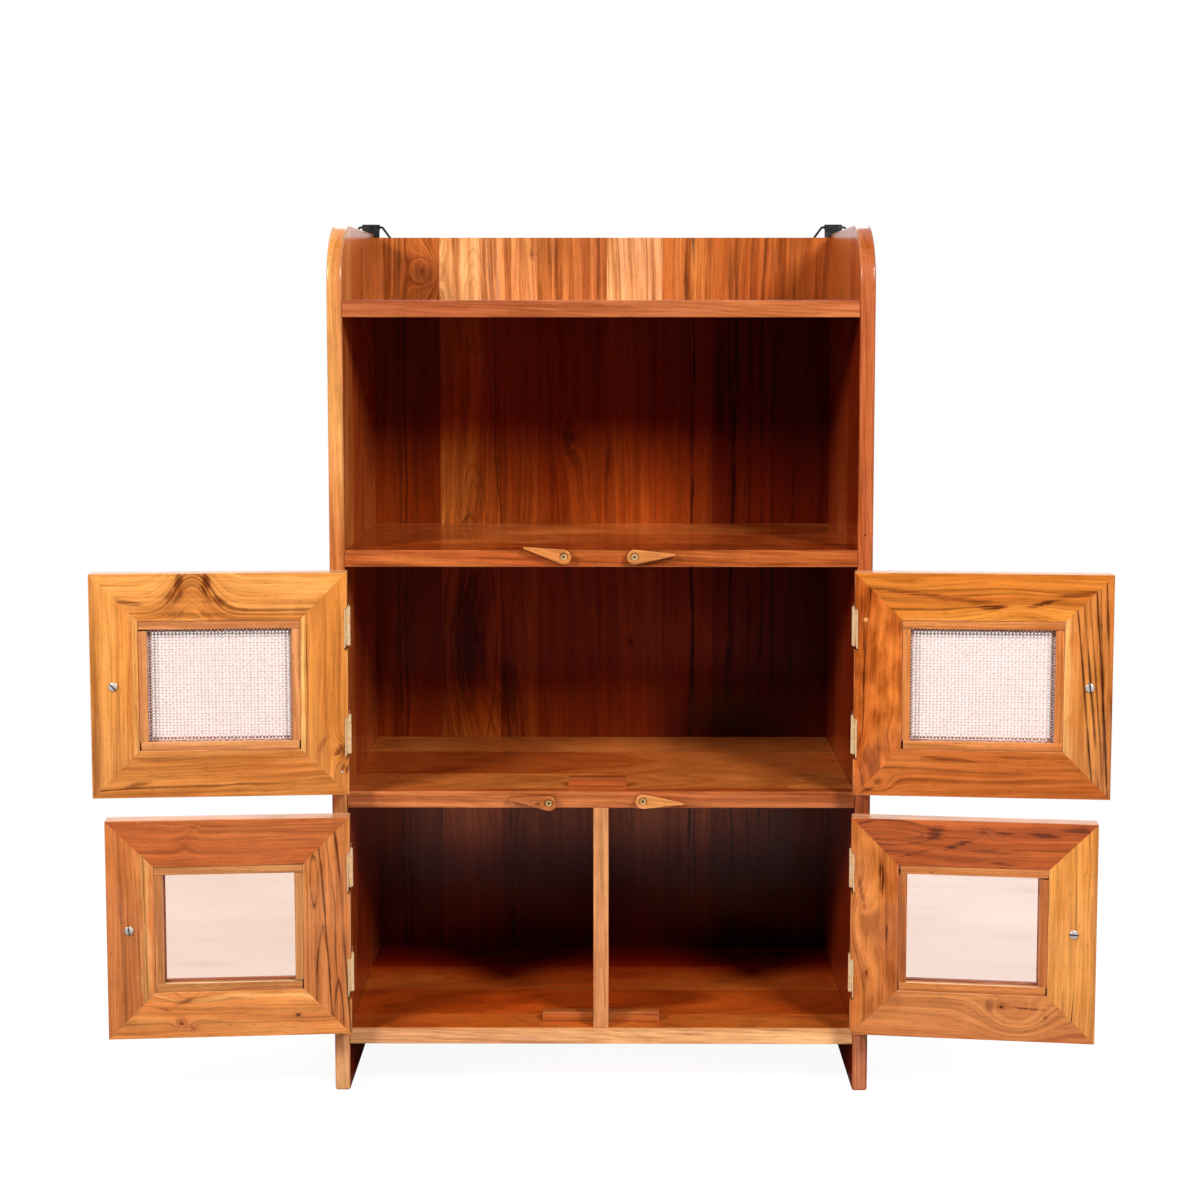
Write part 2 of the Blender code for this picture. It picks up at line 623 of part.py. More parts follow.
def stand_over_origin(root):
    """Moves the whole part in depth, so that its box at rest is centred over the origin."""
    bpy.context.view_layer.update()
    graph = bpy.context.evaluated_depsgraph_get()
    reach = []
    for obj in bpy.data.objects:
        if obj.type != "MESH" or obj.hide_render:
            continue
        shape = obj.evaluated_get(graph)
        reach += [(shape.matrix_world @ Vector(corner)).y for corner in shape.bound_box]
    root.location.y = -(min(reach) + max(reach)) / 2
    bpy.context.view_layer.update()


def main():
    clear_scene()
    finishes = {
        "teak": finish_of("teak", (0.42, 0.15, 0.045), 0.0, 0.32),
        "brass": finish_of("brass", (0.78, 0.58, 0.27), 1.0, 0.30),
        "steel": finish_of("steel", (0.72, 0.72, 0.70), 1.0, 0.30),
        "iron": finish_of("iron", (0.02, 0.02, 0.02), 0.6, 0.45),
        "glass": finish_of("glass", (0.95, 0.97, 0.96), 0.0, 0.02, 1.0),
    }
    root = empty("cabinet", None, (0.0, 0.0, 0.0))
    side_panels(root, finishes["teak"])
    back_panel(root, finishes["teak"])
    made = shelves(root, finishes["teak"])
    centre_divider(root, finishes["teak"])
    door_stops(root, finishes["teak"])
    hangers(root, finishes["iron"])
    turn_buttons(root, made, finishes["teak"], finishes["brass"])
    for door in OPEN_ANGLES:
        door_of(door, root, finishes)
    stand_over_origin(root)


main()
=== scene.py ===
import json
import math

import bmesh
import bpy
from mathutils import Matrix, Vector

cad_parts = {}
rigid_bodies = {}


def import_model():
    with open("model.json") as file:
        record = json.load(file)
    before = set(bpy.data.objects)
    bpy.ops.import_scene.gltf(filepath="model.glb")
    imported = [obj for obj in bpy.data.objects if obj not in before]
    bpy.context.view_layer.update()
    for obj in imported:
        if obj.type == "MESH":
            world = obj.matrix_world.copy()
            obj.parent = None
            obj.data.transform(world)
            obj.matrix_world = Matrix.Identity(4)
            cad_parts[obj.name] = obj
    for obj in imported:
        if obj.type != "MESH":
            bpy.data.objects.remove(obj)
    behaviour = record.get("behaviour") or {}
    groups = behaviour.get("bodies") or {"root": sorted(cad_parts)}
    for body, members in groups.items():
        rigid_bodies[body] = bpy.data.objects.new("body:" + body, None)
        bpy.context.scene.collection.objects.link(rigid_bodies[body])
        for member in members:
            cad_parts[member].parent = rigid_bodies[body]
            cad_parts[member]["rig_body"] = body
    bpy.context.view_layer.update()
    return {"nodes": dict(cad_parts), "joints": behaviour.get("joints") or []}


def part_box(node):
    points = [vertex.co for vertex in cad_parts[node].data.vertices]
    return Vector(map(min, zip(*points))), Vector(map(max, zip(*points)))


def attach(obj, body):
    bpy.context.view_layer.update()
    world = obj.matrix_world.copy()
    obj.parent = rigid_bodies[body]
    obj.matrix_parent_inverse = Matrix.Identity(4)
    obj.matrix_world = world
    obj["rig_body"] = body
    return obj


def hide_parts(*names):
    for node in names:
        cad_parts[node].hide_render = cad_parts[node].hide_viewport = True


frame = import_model()
for leftover in [o for o in bpy.data.objects if "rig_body" not in o and not o.name.startswith("body:")]:
    bpy.data.objects.remove(leftover)
swings = {joint["name"]: joint for joint in frame["joints"]}
tiny, hair = 1e-5, 1e-6
squareOn = 0.8  # a face looks along an axis when its normal has this much of it
print("frame loaded:", len(frame["nodes"]), "nodes")


# Camera, at the photograph's place and angle
view = {
    "lens": 58.65, "sensor": 36.0, "place": (0.00889, -2.30413, 0.88102),
    "pitch": -0.0845, "yaw": 0.0040, "shift": (-0.00096, -0.0953),
}
cameraData = bpy.data.cameras.new("viewCamera")
cameraData.lens = view["lens"]
cameraData.sensor_width = view["sensor"]
cameraData.shift_x, cameraData.shift_y = view["shift"]
camera = bpy.data.objects.new("viewCamera", cameraData)
camera.location = view["place"]
camera.rotation_euler = (math.pi / 2 + view["pitch"], 0.0, view["yaw"])
bpy.context.scene.collection.objects.link(camera)
bpy.context.scene.camera = camera
bpy.context.scene.view_settings.view_transform = "Standard"


# Node helpers
def paint(red, green, blue):
    tints = [c / 255 for c in (red, green, blue)]
    return tuple(((c + 0.055) / 1.055) ** 2.4 if c > 0.04 else c / 12.92 for c in tints) + (1.0,)


def feed(tree, value, socket):
    if isinstance(value, bpy.types.NodeSocket):
        tree.links.new(value, socket)
    else:
        socket.default_value = value


def put(tree, kind, inputs=None, **settings):
    node = tree.nodes.new(kind)
    for key, value in settings.items():
        setattr(node, key, value)
    for key, value in (inputs or {}).items():
        feed(tree, value, node.inputs[key])
    return node


def calc(tree, operation, *values):
    node = put(tree, "ShaderNodeMath", operation=operation)
    for socket, value in zip(node.inputs, values):
        feed(tree, value, socket)
    return node.outputs[0]


def plus(tree, one, other):
    return calc(tree, "ADD", one, other)


def minus(tree, one, other):
    return calc(tree, "SUBTRACT", one, other)


def times(tree, one, other):
    return calc(tree, "MULTIPLY", one, other)


def timesPlus(tree, one, other, rest):
    return calc(tree, "MULTIPLY_ADD", one, other, rest)


def square(tree, value):
    return times(tree, value, value)


def offset(tree, place, centre, reach):
    return calc(tree, "DIVIDE", minus(tree, place, centre), reach)


def fallOff(tree, distance):
    return calc(tree, "EXPONENT", times(tree, distance, -1.0))


def larger(tree, one, other):
    return other if one is None else calc(tree, "MAXIMUM", one, other)


def parts(tree, vector):
    return put(tree, "ShaderNodeSeparateXYZ", {0: vector}).outputs[:3]


def stretch(tree, vector, factors):
    return put(tree, "ShaderNodeVectorMath", {0: vector, 1: factors}, operation="MULTIPLY").outputs[0]


def speckled(tree, vector, scale, detail, roughness=0.5):
    inputs = {"Vector": vector, "Scale": scale, "Detail": detail, "Roughness": roughness}
    return put(tree, "ShaderNodeTexNoise", inputs).outputs[0]


def span(tree, value, low, high, toLow=0.0, toHigh=1.0):
    inputs = {0: value, 1: low, 2: high, 3: toLow, 4: toHigh}
    return put(tree, "ShaderNodeMapRange", inputs, interpolation_type="SMOOTHSTEP").outputs[0]


def blend(tree, factor, one, other):
    return put(tree, "ShaderNodeMix", {0: factor, 2: one, 3: other}, data_type="FLOAT").outputs[0]


def tint(tree, factor, under, over, kind="MIX"):
    settings = {"data_type": "RGBA", "blend_type": kind, "clamp_factor": True}
    return put(tree, "ShaderNodeMix", {0: factor, 6: under, 7: over}, **settings).outputs[2]


def blankFinish(name):
    finish = bpy.data.materials.new(name)
    finish.use_nodes = True
    return finish, finish.node_tree, finish.node_tree.nodes["Principled BSDF"]


# Teak: rings of the tree, cut by the board, under a clear gloss
teak = {
    "pale": (244, 166, 84), "mid": (226, 132, 56), "red": (178, 82, 32), "ember": (126, 50, 15),
    # veil is the pale colour of specks and painted glints in the pores, of worn edges with painted
    # highlights, and of painted glare on faces
    "char": (94, 38, 14), "dark": (70, 24, 9), "sap": (250, 190, 112), "veil": (252, 204, 158),
    "ringGap": 0.0060, "ringDepth": 0.32, "wander": 0.010, "slope": 0.03, "redShare": 0.5, "streaks": 0.35,
    "figure": 0.17, "fibre": 0.22, "mottle": 0.10, "poreDepth": 0.35, "gloss": 0.07, "deepening": (1.9, 1.9),
    "lime": 0.0, "calm": 1.0, "lineWave": 0.7, "heart": None, "frontDepth": None,
    "shades": (), "knots": (), "flames": (), "loops": (), "darkLines": (), "paleLines": (),
}
teakDyes = ("pale", "mid", "red", "ember", "char", "dark", "sap", "veil")
teakNoise = {  # scale along and across, detail, roughness, and the levels between which it fades in
    "bend": (4.5, 17.0, 3.5, 0.5, ()),
    "knotEdge": (34.0, 170.0, 2.0, 0.5, ()),
    "bentFibre": (7.0, 330.0, 3.0, 0.6, ()),
    "plainFibre": (9.0, 360.0, 2.0, 0.6, ()),
    "ringFade": (3.0, 34.0, 2.0, 0.5, (0.34, 0.64)),
    "broad": (1.7, 24.0, 4.0, 0.6, (0.34, 0.66)),
    "redden": (1.4, 14.0, 4.0, 0.6, (0.40, 0.66)),
    "streak": (2.2, 64.0, 3.0, 0.6, (0.59, 0.72)),
    "swell": (26.0, 12.0, 2.0, 0.5, (0.3, 0.7)),
    "lineFade": (11.0, 6.0, 2.0, 0.5, (0.32, 0.52)),
    "feather": (26.0, 430.0, 3.0, 0.65, ()),
    "loopBreak": (45.0, 45.0, 2.0, 0.5, (0.35, 0.60)),
    "figure": (3.2, 125.0, 3.0, 0.65, (0.34, 0.66)),
    "curl": (34.0, 60.0, 2.0, 0.5, (0.3, 0.7)),
    "pores": (85.0, 800.0, 1.0, 0.5, (0.62, 0.70)),
    "lime": (110.0, 700.0, 1.0, 0.5, (0.66, 0.74)),
    "roll": (50.0, 60.0, 2.0, 0.5, ()),
}
ringRamp = {"start": 0.30, "end": 0.955, "stops": ((0.07, 0.0), (0.58, 0.06), (0.86, 0.40)), "faintest": 0.15}
knotMark = {
    "edgeNoise": 1.1, "sway": 0.6, "core": (0.28, 0.50), "ripples": 11.0, "ripple": (0.35, 0.95),
    "rippleShare": 0.6, "reach": (0.5, 1.7), "blush": 0.7,
}
flameMark = {"licks": 4.4, "lift": 1.2, "edge": (0.50, 1.05), "mask": (0.05, 0.8), "glow": 0.55}
loopMark = {"sway": 0.5, "roundness": 1.5, "softness": 1.3, "faintest": 0.35}
lineMark = {
    "swell": (0.45, 1.6), "faintest": 0.15, "seedStep": 90, "heartDepth": 0.02, "rim": (0.0, 0.0012),
    "rimLeft": 0.2,
}
fibreMix = {"bent": 0.75, "plain": 0.55, "base": -0.15, "levels": (0.34, 0.66), "lift": 0.8, "ragged": 0.5,
            "inRed": 0.6, "inStreak": 0.5}
varnish = {
    "woodBump": 0.20, "woodRelief": 0.0004, "coatBump": 0.10, "coatRelief": 0.0006, "poreDent": -0.12,
    "fibreRelief": 0.5, "levels": (0.3, 0.7), "roughness": (0.45, 0.60), "specular": 0.02, "coat": 0.9,
    "ior": 1.5,
}
calmTones = (-0.8, -0.15)
shinePowers = (1.35, 1.7)  # green and blue darken more than red where the figure is dark


def cloudy(tree, kind, vector, seed, output=0):
    along, across, detail, roughness = teakNoise[kind][:4]
    stretched = stretch(tree, vector, (along, across, across))
    inputs = {"Vector": stretched, "W": seed, "Scale": 1.0, "Detail": detail, "Roughness": roughness}
    return put(tree, "ShaderNodeTexNoise", inputs, noise_dimensions="4D").outputs[output]


def fadeIn(tree, kind, value, toLow=0.0, toHigh=1.0):
    return span(tree, value, *teakNoise[kind][4], toLow, toHigh)


def clouds(tree, kind, vector, seed, toLow=0.0, toHigh=1.0):
    return fadeIn(tree, kind, cloudy(tree, kind, vector, seed), toLow, toHigh)


def besideLine(tree, along, across, wobble, swell, line):
    place, width, strength, lean = line
    moved = plus(tree, timesPlus(tree, along, lean, across), wobble)
    apart = offset(tree, moved, place, times(tree, swell, width))
    return times(tree, fallOff(tree, square(tree, apart)), strength)


def teakFinish(name, look=None):
    wood = {**teak, **(look or {})}
    dye = {key: paint(*wood[key]) for key in teakDyes}
    finish, tree, shader = blankFinish(name)
    attributes = [put(tree, "ShaderNodeAttribute", attribute_name=key) for key in ("grain", "spot", "board")]
    grain, spot, board = [node.outputs["Vector"] for node in attributes]
    # board carries tone (plank tone with painted light and shade), a seed, and paleness (worn edges with
    # painted highlight, and painted glare)
    tone, seed, arris = parts(tree, board)
    grainAlong, grainAcross, grainDepth = parts(tree, grain)
    spotAlong, spotAcross, spotDepth = parts(tree, spot)
    calm = span(tree, tone, *calmTones, wood["calm"], 1.0)

    # distance from the middle of the tree, bent by slow noise and by knots
    bend = cloudy(tree, "bend", grain, seed, output=1)
    bend = put(tree, "ShaderNodeVectorMath", {0: bend, 1: (0.5, 0.5, 0.5)}, operation="SUBTRACT").outputs[0]
    bendAlong, bendAcross, bendDepth = parts(tree, stretch(tree, bend, (wood["wander"] * 2,) * 3))
    across = plus(tree, grainAcross, bendAcross)
    depth = plus(tree, timesPlus(tree, grainAlong, wood["slope"], grainDepth), bendDepth)
    radius = calc(tree, "SQRT", timesPlus(tree, across, across, square(tree, depth)))
    knotEdge = cloudy(tree, "knotEdge", grain, seed)
    knotEdge = timesPlus(tree, knotEdge, knotMark["edgeNoise"], -knotMark["edgeNoise"] / 2)
    knotShade, knotRed = None, None
    for along, beside, reachAlong, reachAcross, pull, shade in wood["knots"]:
        a = offset(tree, spotAlong, along, reachAlong)
        b = offset(tree, timesPlus(tree, bendAlong, knotMark["sway"], spotAcross), beside, reachAcross)
        apart = timesPlus(tree, a, a, square(tree, b))
        near = fallOff(tree, apart)
        if pull:
            radius = timesPlus(tree, near, pull, radius)
        if shade:
            rim = plus(tree, calc(tree, "SQRT", apart), knotEdge)
            core = span(tree, rim, *knotMark["core"], shade, 0.0)
            ripple = calc(tree, "SINE", times(tree, rim, knotMark["ripples"]))
            ripple = span(tree, ripple, *knotMark["ripple"], 0.0, shade * knotMark["rippleShare"])
            rings = times(tree, ripple, span(tree, rim, *knotMark["reach"], 1.0, 0.0))
            knotShade = larger(tree, knotShade, larger(tree, core, rings))
            knotRed = larger(tree, knotRed, times(tree, near, shade * knotMark["blush"]))
    flow = put(tree, "ShaderNodeCombineXYZ", {0: grainAlong, 1: radius, 2: grainDepth}).outputs[0]
    plainFibre = timesPlus(tree, cloudy(tree, "plainFibre", grain, seed), fibreMix["plain"], fibreMix["base"])
    fibre = timesPlus(tree, cloudy(tree, "bentFibre", flow, seed), fibreMix["bent"], plainFibre)
    ragged = timesPlus(tree, fibre, fibreMix["ragged"], -fibreMix["ragged"] / 2)
    ringCount = calc(tree, "DIVIDE", radius, wood["ringGap"])
    ringLine = put(tree, "ShaderNodeValToRGB", {0: calc(tree, "FRACT", ringCount)})
    ringLine.color_ramp.elements[0].color = (*[ringRamp["start"]] * 3, 1.0)
    ringLine.color_ramp.elements[1].position = ringRamp["end"]
    for position, shade in ringRamp["stops"]:
        ringLine.color_ramp.elements.new(position).color = (shade, shade, shade, 1.0)
    ringSeed = plus(tree, calc(tree, "FLOOR", ringCount), seed)
    ringDice = put(tree, "ShaderNodeTexWhiteNoise", {"W": ringSeed}, noise_dimensions="1D").outputs[0]
    ringFade = clouds(tree, "ringFade", flow, seed, ringRamp["faintest"], 1.0)
    ringShade = times(tree, ringLine.outputs[0], span(tree, ringDice, 0.0, 1.0, ringRamp["faintest"], 1.0))
    ringShade = times(tree, ringShade, times(tree, ringFade, times(tree, calm, wood["ringDepth"])))

    # colour, from broad bands down to pores
    broad = plus(tree, cloudy(tree, "broad", flow, seed), ragged)
    colour = tint(tree, fadeIn(tree, "broad", broad), dye["pale"], dye["mid"])

    def stain(factor, key):
        nonlocal colour
        colour = tint(tree, factor, colour, dye[key])

    redden = timesPlus(tree, ragged, fibreMix["inRed"], cloudy(tree, "redden", flow, seed))
    stain(fadeIn(tree, "redden", redden, 0.0, wood["redShare"]), "red")
    stain(ringShade, "ember")
    streak = timesPlus(tree, ragged, fibreMix["inStreak"], cloudy(tree, "streak", flow, seed))
    stain(fadeIn(tree, "streak", streak, 0.0, times(tree, calm, wood["streaks"])), "ember")

    # lines follow the board, or the rings where the member has a heart
    line = spotAcross
    wobble = times(tree, bendAcross, wood["lineWave"])
    rimFade = 1.0
    if wood["heart"]:
        line = minus(tree, radius, math.hypot(wood["heart"][0], wood["heart"][1] + lineMark["heartDepth"]))
        wobble = 0.0
        rimFade = span(tree, spotAcross, *lineMark["rim"], lineMark["rimLeft"], 1.0)
    swell = clouds(tree, "swell", spot, seed, *lineMark["swell"])
    for pale in wood["paleLines"]:
        stain(besideLine(tree, spotAlong, line, wobble, swell, pale), "sap")
    for dark in wood["darkLines"]:
        fade = clouds(tree, "lineFade", spot, dark[0] * lineMark["seedStep"], lineMark["faintest"], 1.0)
        mark = besideLine(tree, spotAlong, line, wobble, swell, dark)
        stain(times(tree, mark, times(tree, fade, rimFade)), "dark")

    # dark flames, drawn loops and knots
    feather = cloudy(tree, "feather", flow, seed)
    for along, beside, reachAlong, reachAcross, strength, lean in wood["flames"]:
        off = minus(tree, spotAlong, along)
        a = calc(tree, "DIVIDE", off, reachAlong)
        b = calc(tree, "DIVIDE", timesPlus(tree, off, lean, minus(tree, spotAcross, beside)), reachAcross)
        mask = fallOff(tree, timesPlus(tree, a, a, square(tree, b)))
        licks = times(tree, mask, flameMark["lift"])
        licks = timesPlus(tree, minus(tree, feather, 0.5), flameMark["licks"], licks)
        stain(times(tree, mask, strength * flameMark["glow"]), "red")
        licks = span(tree, licks, *flameMark["edge"])
        stain(times(tree, licks, span(tree, mask, *flameMark["mask"], 0.0, strength)), "char")
    inFront = span(tree, spotDepth, *wood["frontDepth"], 1.0, 0.0) if wood["frontDepth"] else None

    def onFront(mask):
        return mask if inFront is None else times(tree, mask, inFront)

    for along, beside, halfLength, halfWidth, width, strength in wood["loops"]:
        a = offset(tree, spotAlong, along, halfLength)
        b = offset(tree, timesPlus(tree, bendAcross, loopMark["sway"], spotAcross), beside, halfWidth)
        b = calc(tree, "POWER", calc(tree, "ABSOLUTE", b), loopMark["roundness"])
        edge = minus(tree, timesPlus(tree, a, a, b), 1.0)
        edge = times(tree, edge, halfWidth / (loopMark["softness"] * width))
        broken = clouds(tree, "loopBreak", spot, seed, loopMark["faintest"] * strength, strength)
        stain(times(tree, fallOff(tree, square(tree, edge)), onFront(broken)), "dark")
    if knotShade is not None:
        stain(knotRed, "red")
        stain(knotShade, "dark")

    # pores, pale specks and painted glints in them, worn edges with painted highlights, painted glare, and
    # light and dark
    figure = clouds(tree, "figure", flow, seed, -wood["figure"], wood["figure"])
    curl = clouds(tree, "curl", grain, seed, -wood["mottle"] / 2, wood["mottle"] / 2)
    brightest = 1.0 + wood["fibre"] * fibreMix["lift"]
    shine = span(tree, fibre, *fibreMix["levels"], 1.0 - wood["fibre"], brightest)
    shine = plus(tree, shine, plus(tree, figure, curl))
    shine = timesPlus(tree, minus(tree, shine, 1.0), calm, 1.0)
    pores = clouds(tree, "pores", grain, seed)
    stain(times(tree, pores, wood["poreDepth"]), "dark")
    # pale specks in the pores: specks in the varnish, and painted glints where the pores catch the light
    if wood["lime"]:
        stain(clouds(tree, "lime", grain, seed, 0.0, wood["lime"]), "veil")
    # paler edges and faces: worn edges with a painted highlight, and the painted glare wash
    stain(arris, "veil")
    # level: tone with its painted light and shade; shades add painted shadows, and painted light where their
    # strength is negative
    level = plus(tree, tone, 1.0)
    for along, beside, reachAlong, reachAcross, strength in wood["shades"]:
        a = offset(tree, spotAlong, along, reachAlong)
        b = offset(tree, spotAcross, beside, reachAcross)
        mask = onFront(fallOff(tree, timesPlus(tree, a, a, square(tree, b))))
        level = times(tree, level, timesPlus(tree, mask, -strength, 1.0))
    levels = [level] + [calc(tree, "POWER", level, power) for power in wood["deepening"]]
    shines = [shine] + [calc(tree, "POWER", shine, power) for power in shinePowers]
    shades = {i: times(tree, *pair) for i, pair in enumerate(zip(shines, levels))}
    colour = tint(tree, 1.0, colour, put(tree, "ShaderNodeCombineColor", shades).outputs[0], "MULTIPLY")

    # finish: open pores under varnish that has a slight roll
    relief = timesPlus(tree, pores, -1.0, times(tree, fibre, varnish["fibreRelief"]))
    roll = timesPlus(tree, pores, varnish["poreDent"], cloudy(tree, "roll", spot, seed))
    for kind, height, socket in (("wood", relief, "Normal"), ("coat", roll, "Coat Normal")):
        inputs = {"Strength": varnish[kind + "Bump"], "Distance": varnish[kind + "Relief"], "Height": height}
        feed(tree, put(tree, "ShaderNodeBump", inputs).outputs[0], shader.inputs[socket])
    feed(tree, colour, shader.inputs["Base Color"])
    feed(tree, span(tree, fibre, *varnish["levels"], *varnish["roughness"]), shader.inputs["Roughness"])
    shader.inputs["Specular IOR Level"].default_value = varnish["specular"]
    shader.inputs["Coat Weight"].default_value = varnish["coat"]
    shader.inputs["Coat Roughness"].default_value = wood["gloss"]
    shader.inputs["Coat IOR"].default_value = varnish["ior"]
    return finish


# Metals and glass
metals = {
    # dirt is the colour given to the faces inside screw slots and crosses: dirt, and painted shade in the
    # recess
    "brass": {"bright": (252, 216, 156), "worn": (228, 182, 112), "dirt": (52, 34, 18), "metallic": 0.5,
              "roughness": 0.36, "scale": 700.0, "relief": 0.15},
    "hingeBrass": {"bright": (255, 226, 178), "worn": (254, 210, 154), "dirt": (52, 34, 18), "metallic": 0.05,
                   "roughness": 0.34, "scale": 700.0, "relief": 0.15},
    "steel": {"bright": (228, 220, 212), "worn": (204, 194, 186), "dirt": (96, 78, 66), "metallic": 0.4,
              "roughness": 0.36, "scale": 900.0, "relief": 0.12},
    "wire": {"bright": (248, 222, 212), "worn": (245, 214, 204), "dirt": (60, 50, 46), "metallic": 0.0,
             "roughness": 0.38, "scale": 600.0, "relief": 0.10},
    "iron": {"bright": (30, 28, 30), "worn": (58, 54, 54), "dirt": (16, 15, 16), "metallic": 0.35,
             "roughness": 0.34, "scale": 420.0, "relief": 0.5},
}
metalWear = {
    "spotScale": 0.22, "spotDetail": 3.0, "spots": (0.42, 0.66), "markDetail": 5.0, "markRoughness": 0.65,
    "marks": (0.3, 0.7), "smooth": 0.75, "rough": 1.3, "depth": 0.0002,
}


def metalFinish(name, metal):
    finish, tree, shader = blankFinish(name)
    place = put(tree, "ShaderNodeTexCoord").outputs["Object"]
    marks = speckled(tree, place, metal["scale"], metalWear["markDetail"], metalWear["markRoughness"])
    spots = speckled(tree, place, metal["scale"] * metalWear["spotScale"], metalWear["spotDetail"])
    worn = span(tree, spots, *metalWear["spots"])
    colour = tint(tree, worn, paint(*metal["bright"]), paint(*metal["worn"]))
    # screw slots and crosses are darkened: dirt, and painted shade in the recess
    dirt = put(tree, "ShaderNodeAttribute", attribute_name="dirt").outputs["Fac"]
    feed(tree, tint(tree, dirt, colour, paint(*metal["dirt"])), shader.inputs["Base Color"])
    roughness = [metal["roughness"] * metalWear[key] for key in ("smooth", "rough")]
    feed(tree, span(tree, marks, *metalWear["marks"], *roughness), shader.inputs["Roughness"])
    inputs = {"Strength": metal["relief"], "Distance": metalWear["depth"], "Height": marks}
    feed(tree, put(tree, "ShaderNodeBump", inputs).outputs[0], shader.inputs["Normal"])
    shader.inputs["Metallic"].default_value = metal["metallic"]
    return finish


brassFinish, hingeFinish, steelFinish, wireFinish, ironFinish = [
    metalFinish(name, metal) for name, metal in metals.items()
]
paneFilm = {
    "stretch": (5.0, 5.0, 95.0), "streaks": (0.45, 0.75), "clouds": 14.0, "cloudy": (0.35, 0.7),
    "details": (3.0, 4.0), "roughness": (0.01, 0.07), "ior": 1.5,
}


def paneFinish(name, clear, filmed):
    finish, tree, shader = blankFinish(name)
    spot = put(tree, "ShaderNodeTexCoord").outputs["Object"]
    streaks = speckled(tree, stretch(tree, spot, paneFilm["stretch"]), 1.0, paneFilm["details"][0])
    film = speckled(tree, spot, paneFilm["clouds"], paneFilm["details"][1])
    veil = times(tree, span(tree, streaks, *paneFilm["streaks"]), span(tree, film, *paneFilm["cloudy"]))
    feed(tree, tint(tree, veil, paint(*clear), paint(*filmed)), shader.inputs["Base Color"])
    feed(tree, span(tree, veil, 0.0, 1.0, *paneFilm["roughness"]), shader.inputs["Roughness"])
    shader.inputs["Transmission Weight"].default_value = 1.0
    shader.inputs["IOR"].default_value = paneFilm["ior"]
    return finish


print("metals and glass mixed")


# Mesh helpers
def bridge(near, far):
    shape = bmesh.new()
    near = [shape.verts.new(point) for point in near]
    far = [shape.verts.new(point) for point in far]
    shape.faces.new(near)
    shape.faces.new(list(reversed(far)))
    for i in range(len(near)):
        j = (i + 1) % len(near)
        shape.faces.new((near[i], far[i], far[j], near[j]))
    bmesh.ops.recalc_face_normals(shape, faces=shape.faces)
    return shape


def prism(points, place, low, high):
    return bridge([place(a, b, low) for a, b in points], [place(a, b, high) for a, b in points])


def block(low, high):
    shape = bmesh.new()
    bmesh.ops.create_cube(shape, size=1.0)
    middle = (Vector(low) + Vector(high)) / 2
    size = [abs(c) for c in Vector(high) - Vector(low)]
    placed = Matrix.Translation(middle) @ Matrix.Diagonal((*size, 1.0))
    bmesh.ops.transform(shape, matrix=placed, verts=shape.verts)
    return shape


def spun(degrees, axis):
    return Matrix.Rotation(math.radians(degrees), 4, axis)


def arcPoints(centre, radius, start, end, steps):
    turns = [math.radians(start + (end - start) * i / steps) for i in range(steps + 1)]
    return [(centre[0] + radius * math.cos(t), centre[1] + radius * math.sin(t)) for t in turns]


def lathe(profile, sides):
    shape = bmesh.new()
    turns = [2 * math.pi * i / sides for i in range(sides)]
    rings = []
    for radius, height in profile:
        points = [(radius * math.cos(t), radius * math.sin(t), height) for t in turns]
        if radius < hair:
            points = [(0.0, 0.0, height)]
        rings.append([shape.verts.new(point) for point in points])
    for lower, upper in zip(rings, rings[1:]):
        for i in range(sides):
            j = (i + 1) % sides
            below, above = [(ring[i % len(ring)], ring[j % len(ring)]) for ring in (lower, upper)]
            corners = list(dict.fromkeys((*below, *reversed(above))))
            if len(corners) > 2:
                shape.faces.new(corners)
    bmesh.ops.recalc_face_normals(shape, faces=shape.faces)
    return shape


def tube(shape, rings, closed=False):
    pairs = list(zip(rings, rings[1:]))
    if closed:
        pairs.append((rings[-1], rings[0]))
    for first, second in pairs:
        for k in range(len(first)):
            m = (k + 1) % len(first)
            shape.faces.new((first[k], first[m], second[m], second[k]))
    if not closed:
        shape.faces.new(list(reversed(rings[0])))
        shape.faces.new(rings[-1])
    return shape


def camel(name):
    first, *rest = name.split("_")
    return first + "".join(word.capitalize() for word in rest)


def cutAcross(shape, axis, place):
    point, normal = [0.0, 0.0, 0.0], [0.0, 0.0, 0.0]
    point[axis], normal[axis] = place, 1.0
    whole = list(shape.verts) + list(shape.edges) + list(shape.faces)
    bmesh.ops.bisect_plane(shape, geom=whole, plane_co=point, plane_no=normal, dist=hair)


crease = math.radians(35)  # edges that turn more than this are eased


def ease(shape, width, segments=3, chosen=None):
    flag = shape.faces.layers.int.get("arris") or shape.faces.layers.int.new("arris")
    edges = [e for e in shape.edges if len(e.link_faces) == 2 and e.calc_face_angle(0.0) > crease]
    edges = [e for e in edges if chosen is None or chosen(e)]
    settings = {"segments": segments, "profile": 0.5, "affect": "EDGES", "clamp_overlap": True}
    made = bmesh.ops.bevel(shape, geom=edges, offset=width, **settings)
    for face in made["faces"]:
        face[flag] = 1
    return shape


def shapeOf(mesh):
    shape = bmesh.new()
    shape.from_mesh(mesh)
    return shape


def join(*shapes):
    whole = bmesh.new()
    for shape in shapes:
        carrier = bpy.data.meshes.new("carrier")
        shape.to_mesh(carrier)
        shape.free()
        whole.from_mesh(carrier)
        bpy.data.meshes.remove(carrier)
    return whole


def turn(shape, matrix):
    bmesh.ops.transform(shape, matrix=matrix, verts=shape.verts)
    if matrix.to_3x3().determinant() < 0:
        bmesh.ops.reverse_faces(shape, faces=shape.faces)
    return shape


def bareObject(name, shape):
    mesh = bpy.data.meshes.new(name)
    shape.to_mesh(mesh)
    shape.free()
    obj = bpy.data.objects.new(name, mesh)
    bpy.context.scene.collection.objects.link(obj)
    return obj


def moveTo(obj, matrix):
    obj.data.transform(matrix)
    if matrix.to_3x3().determinant() < 0:
        obj.data.flip_normals()
    return obj


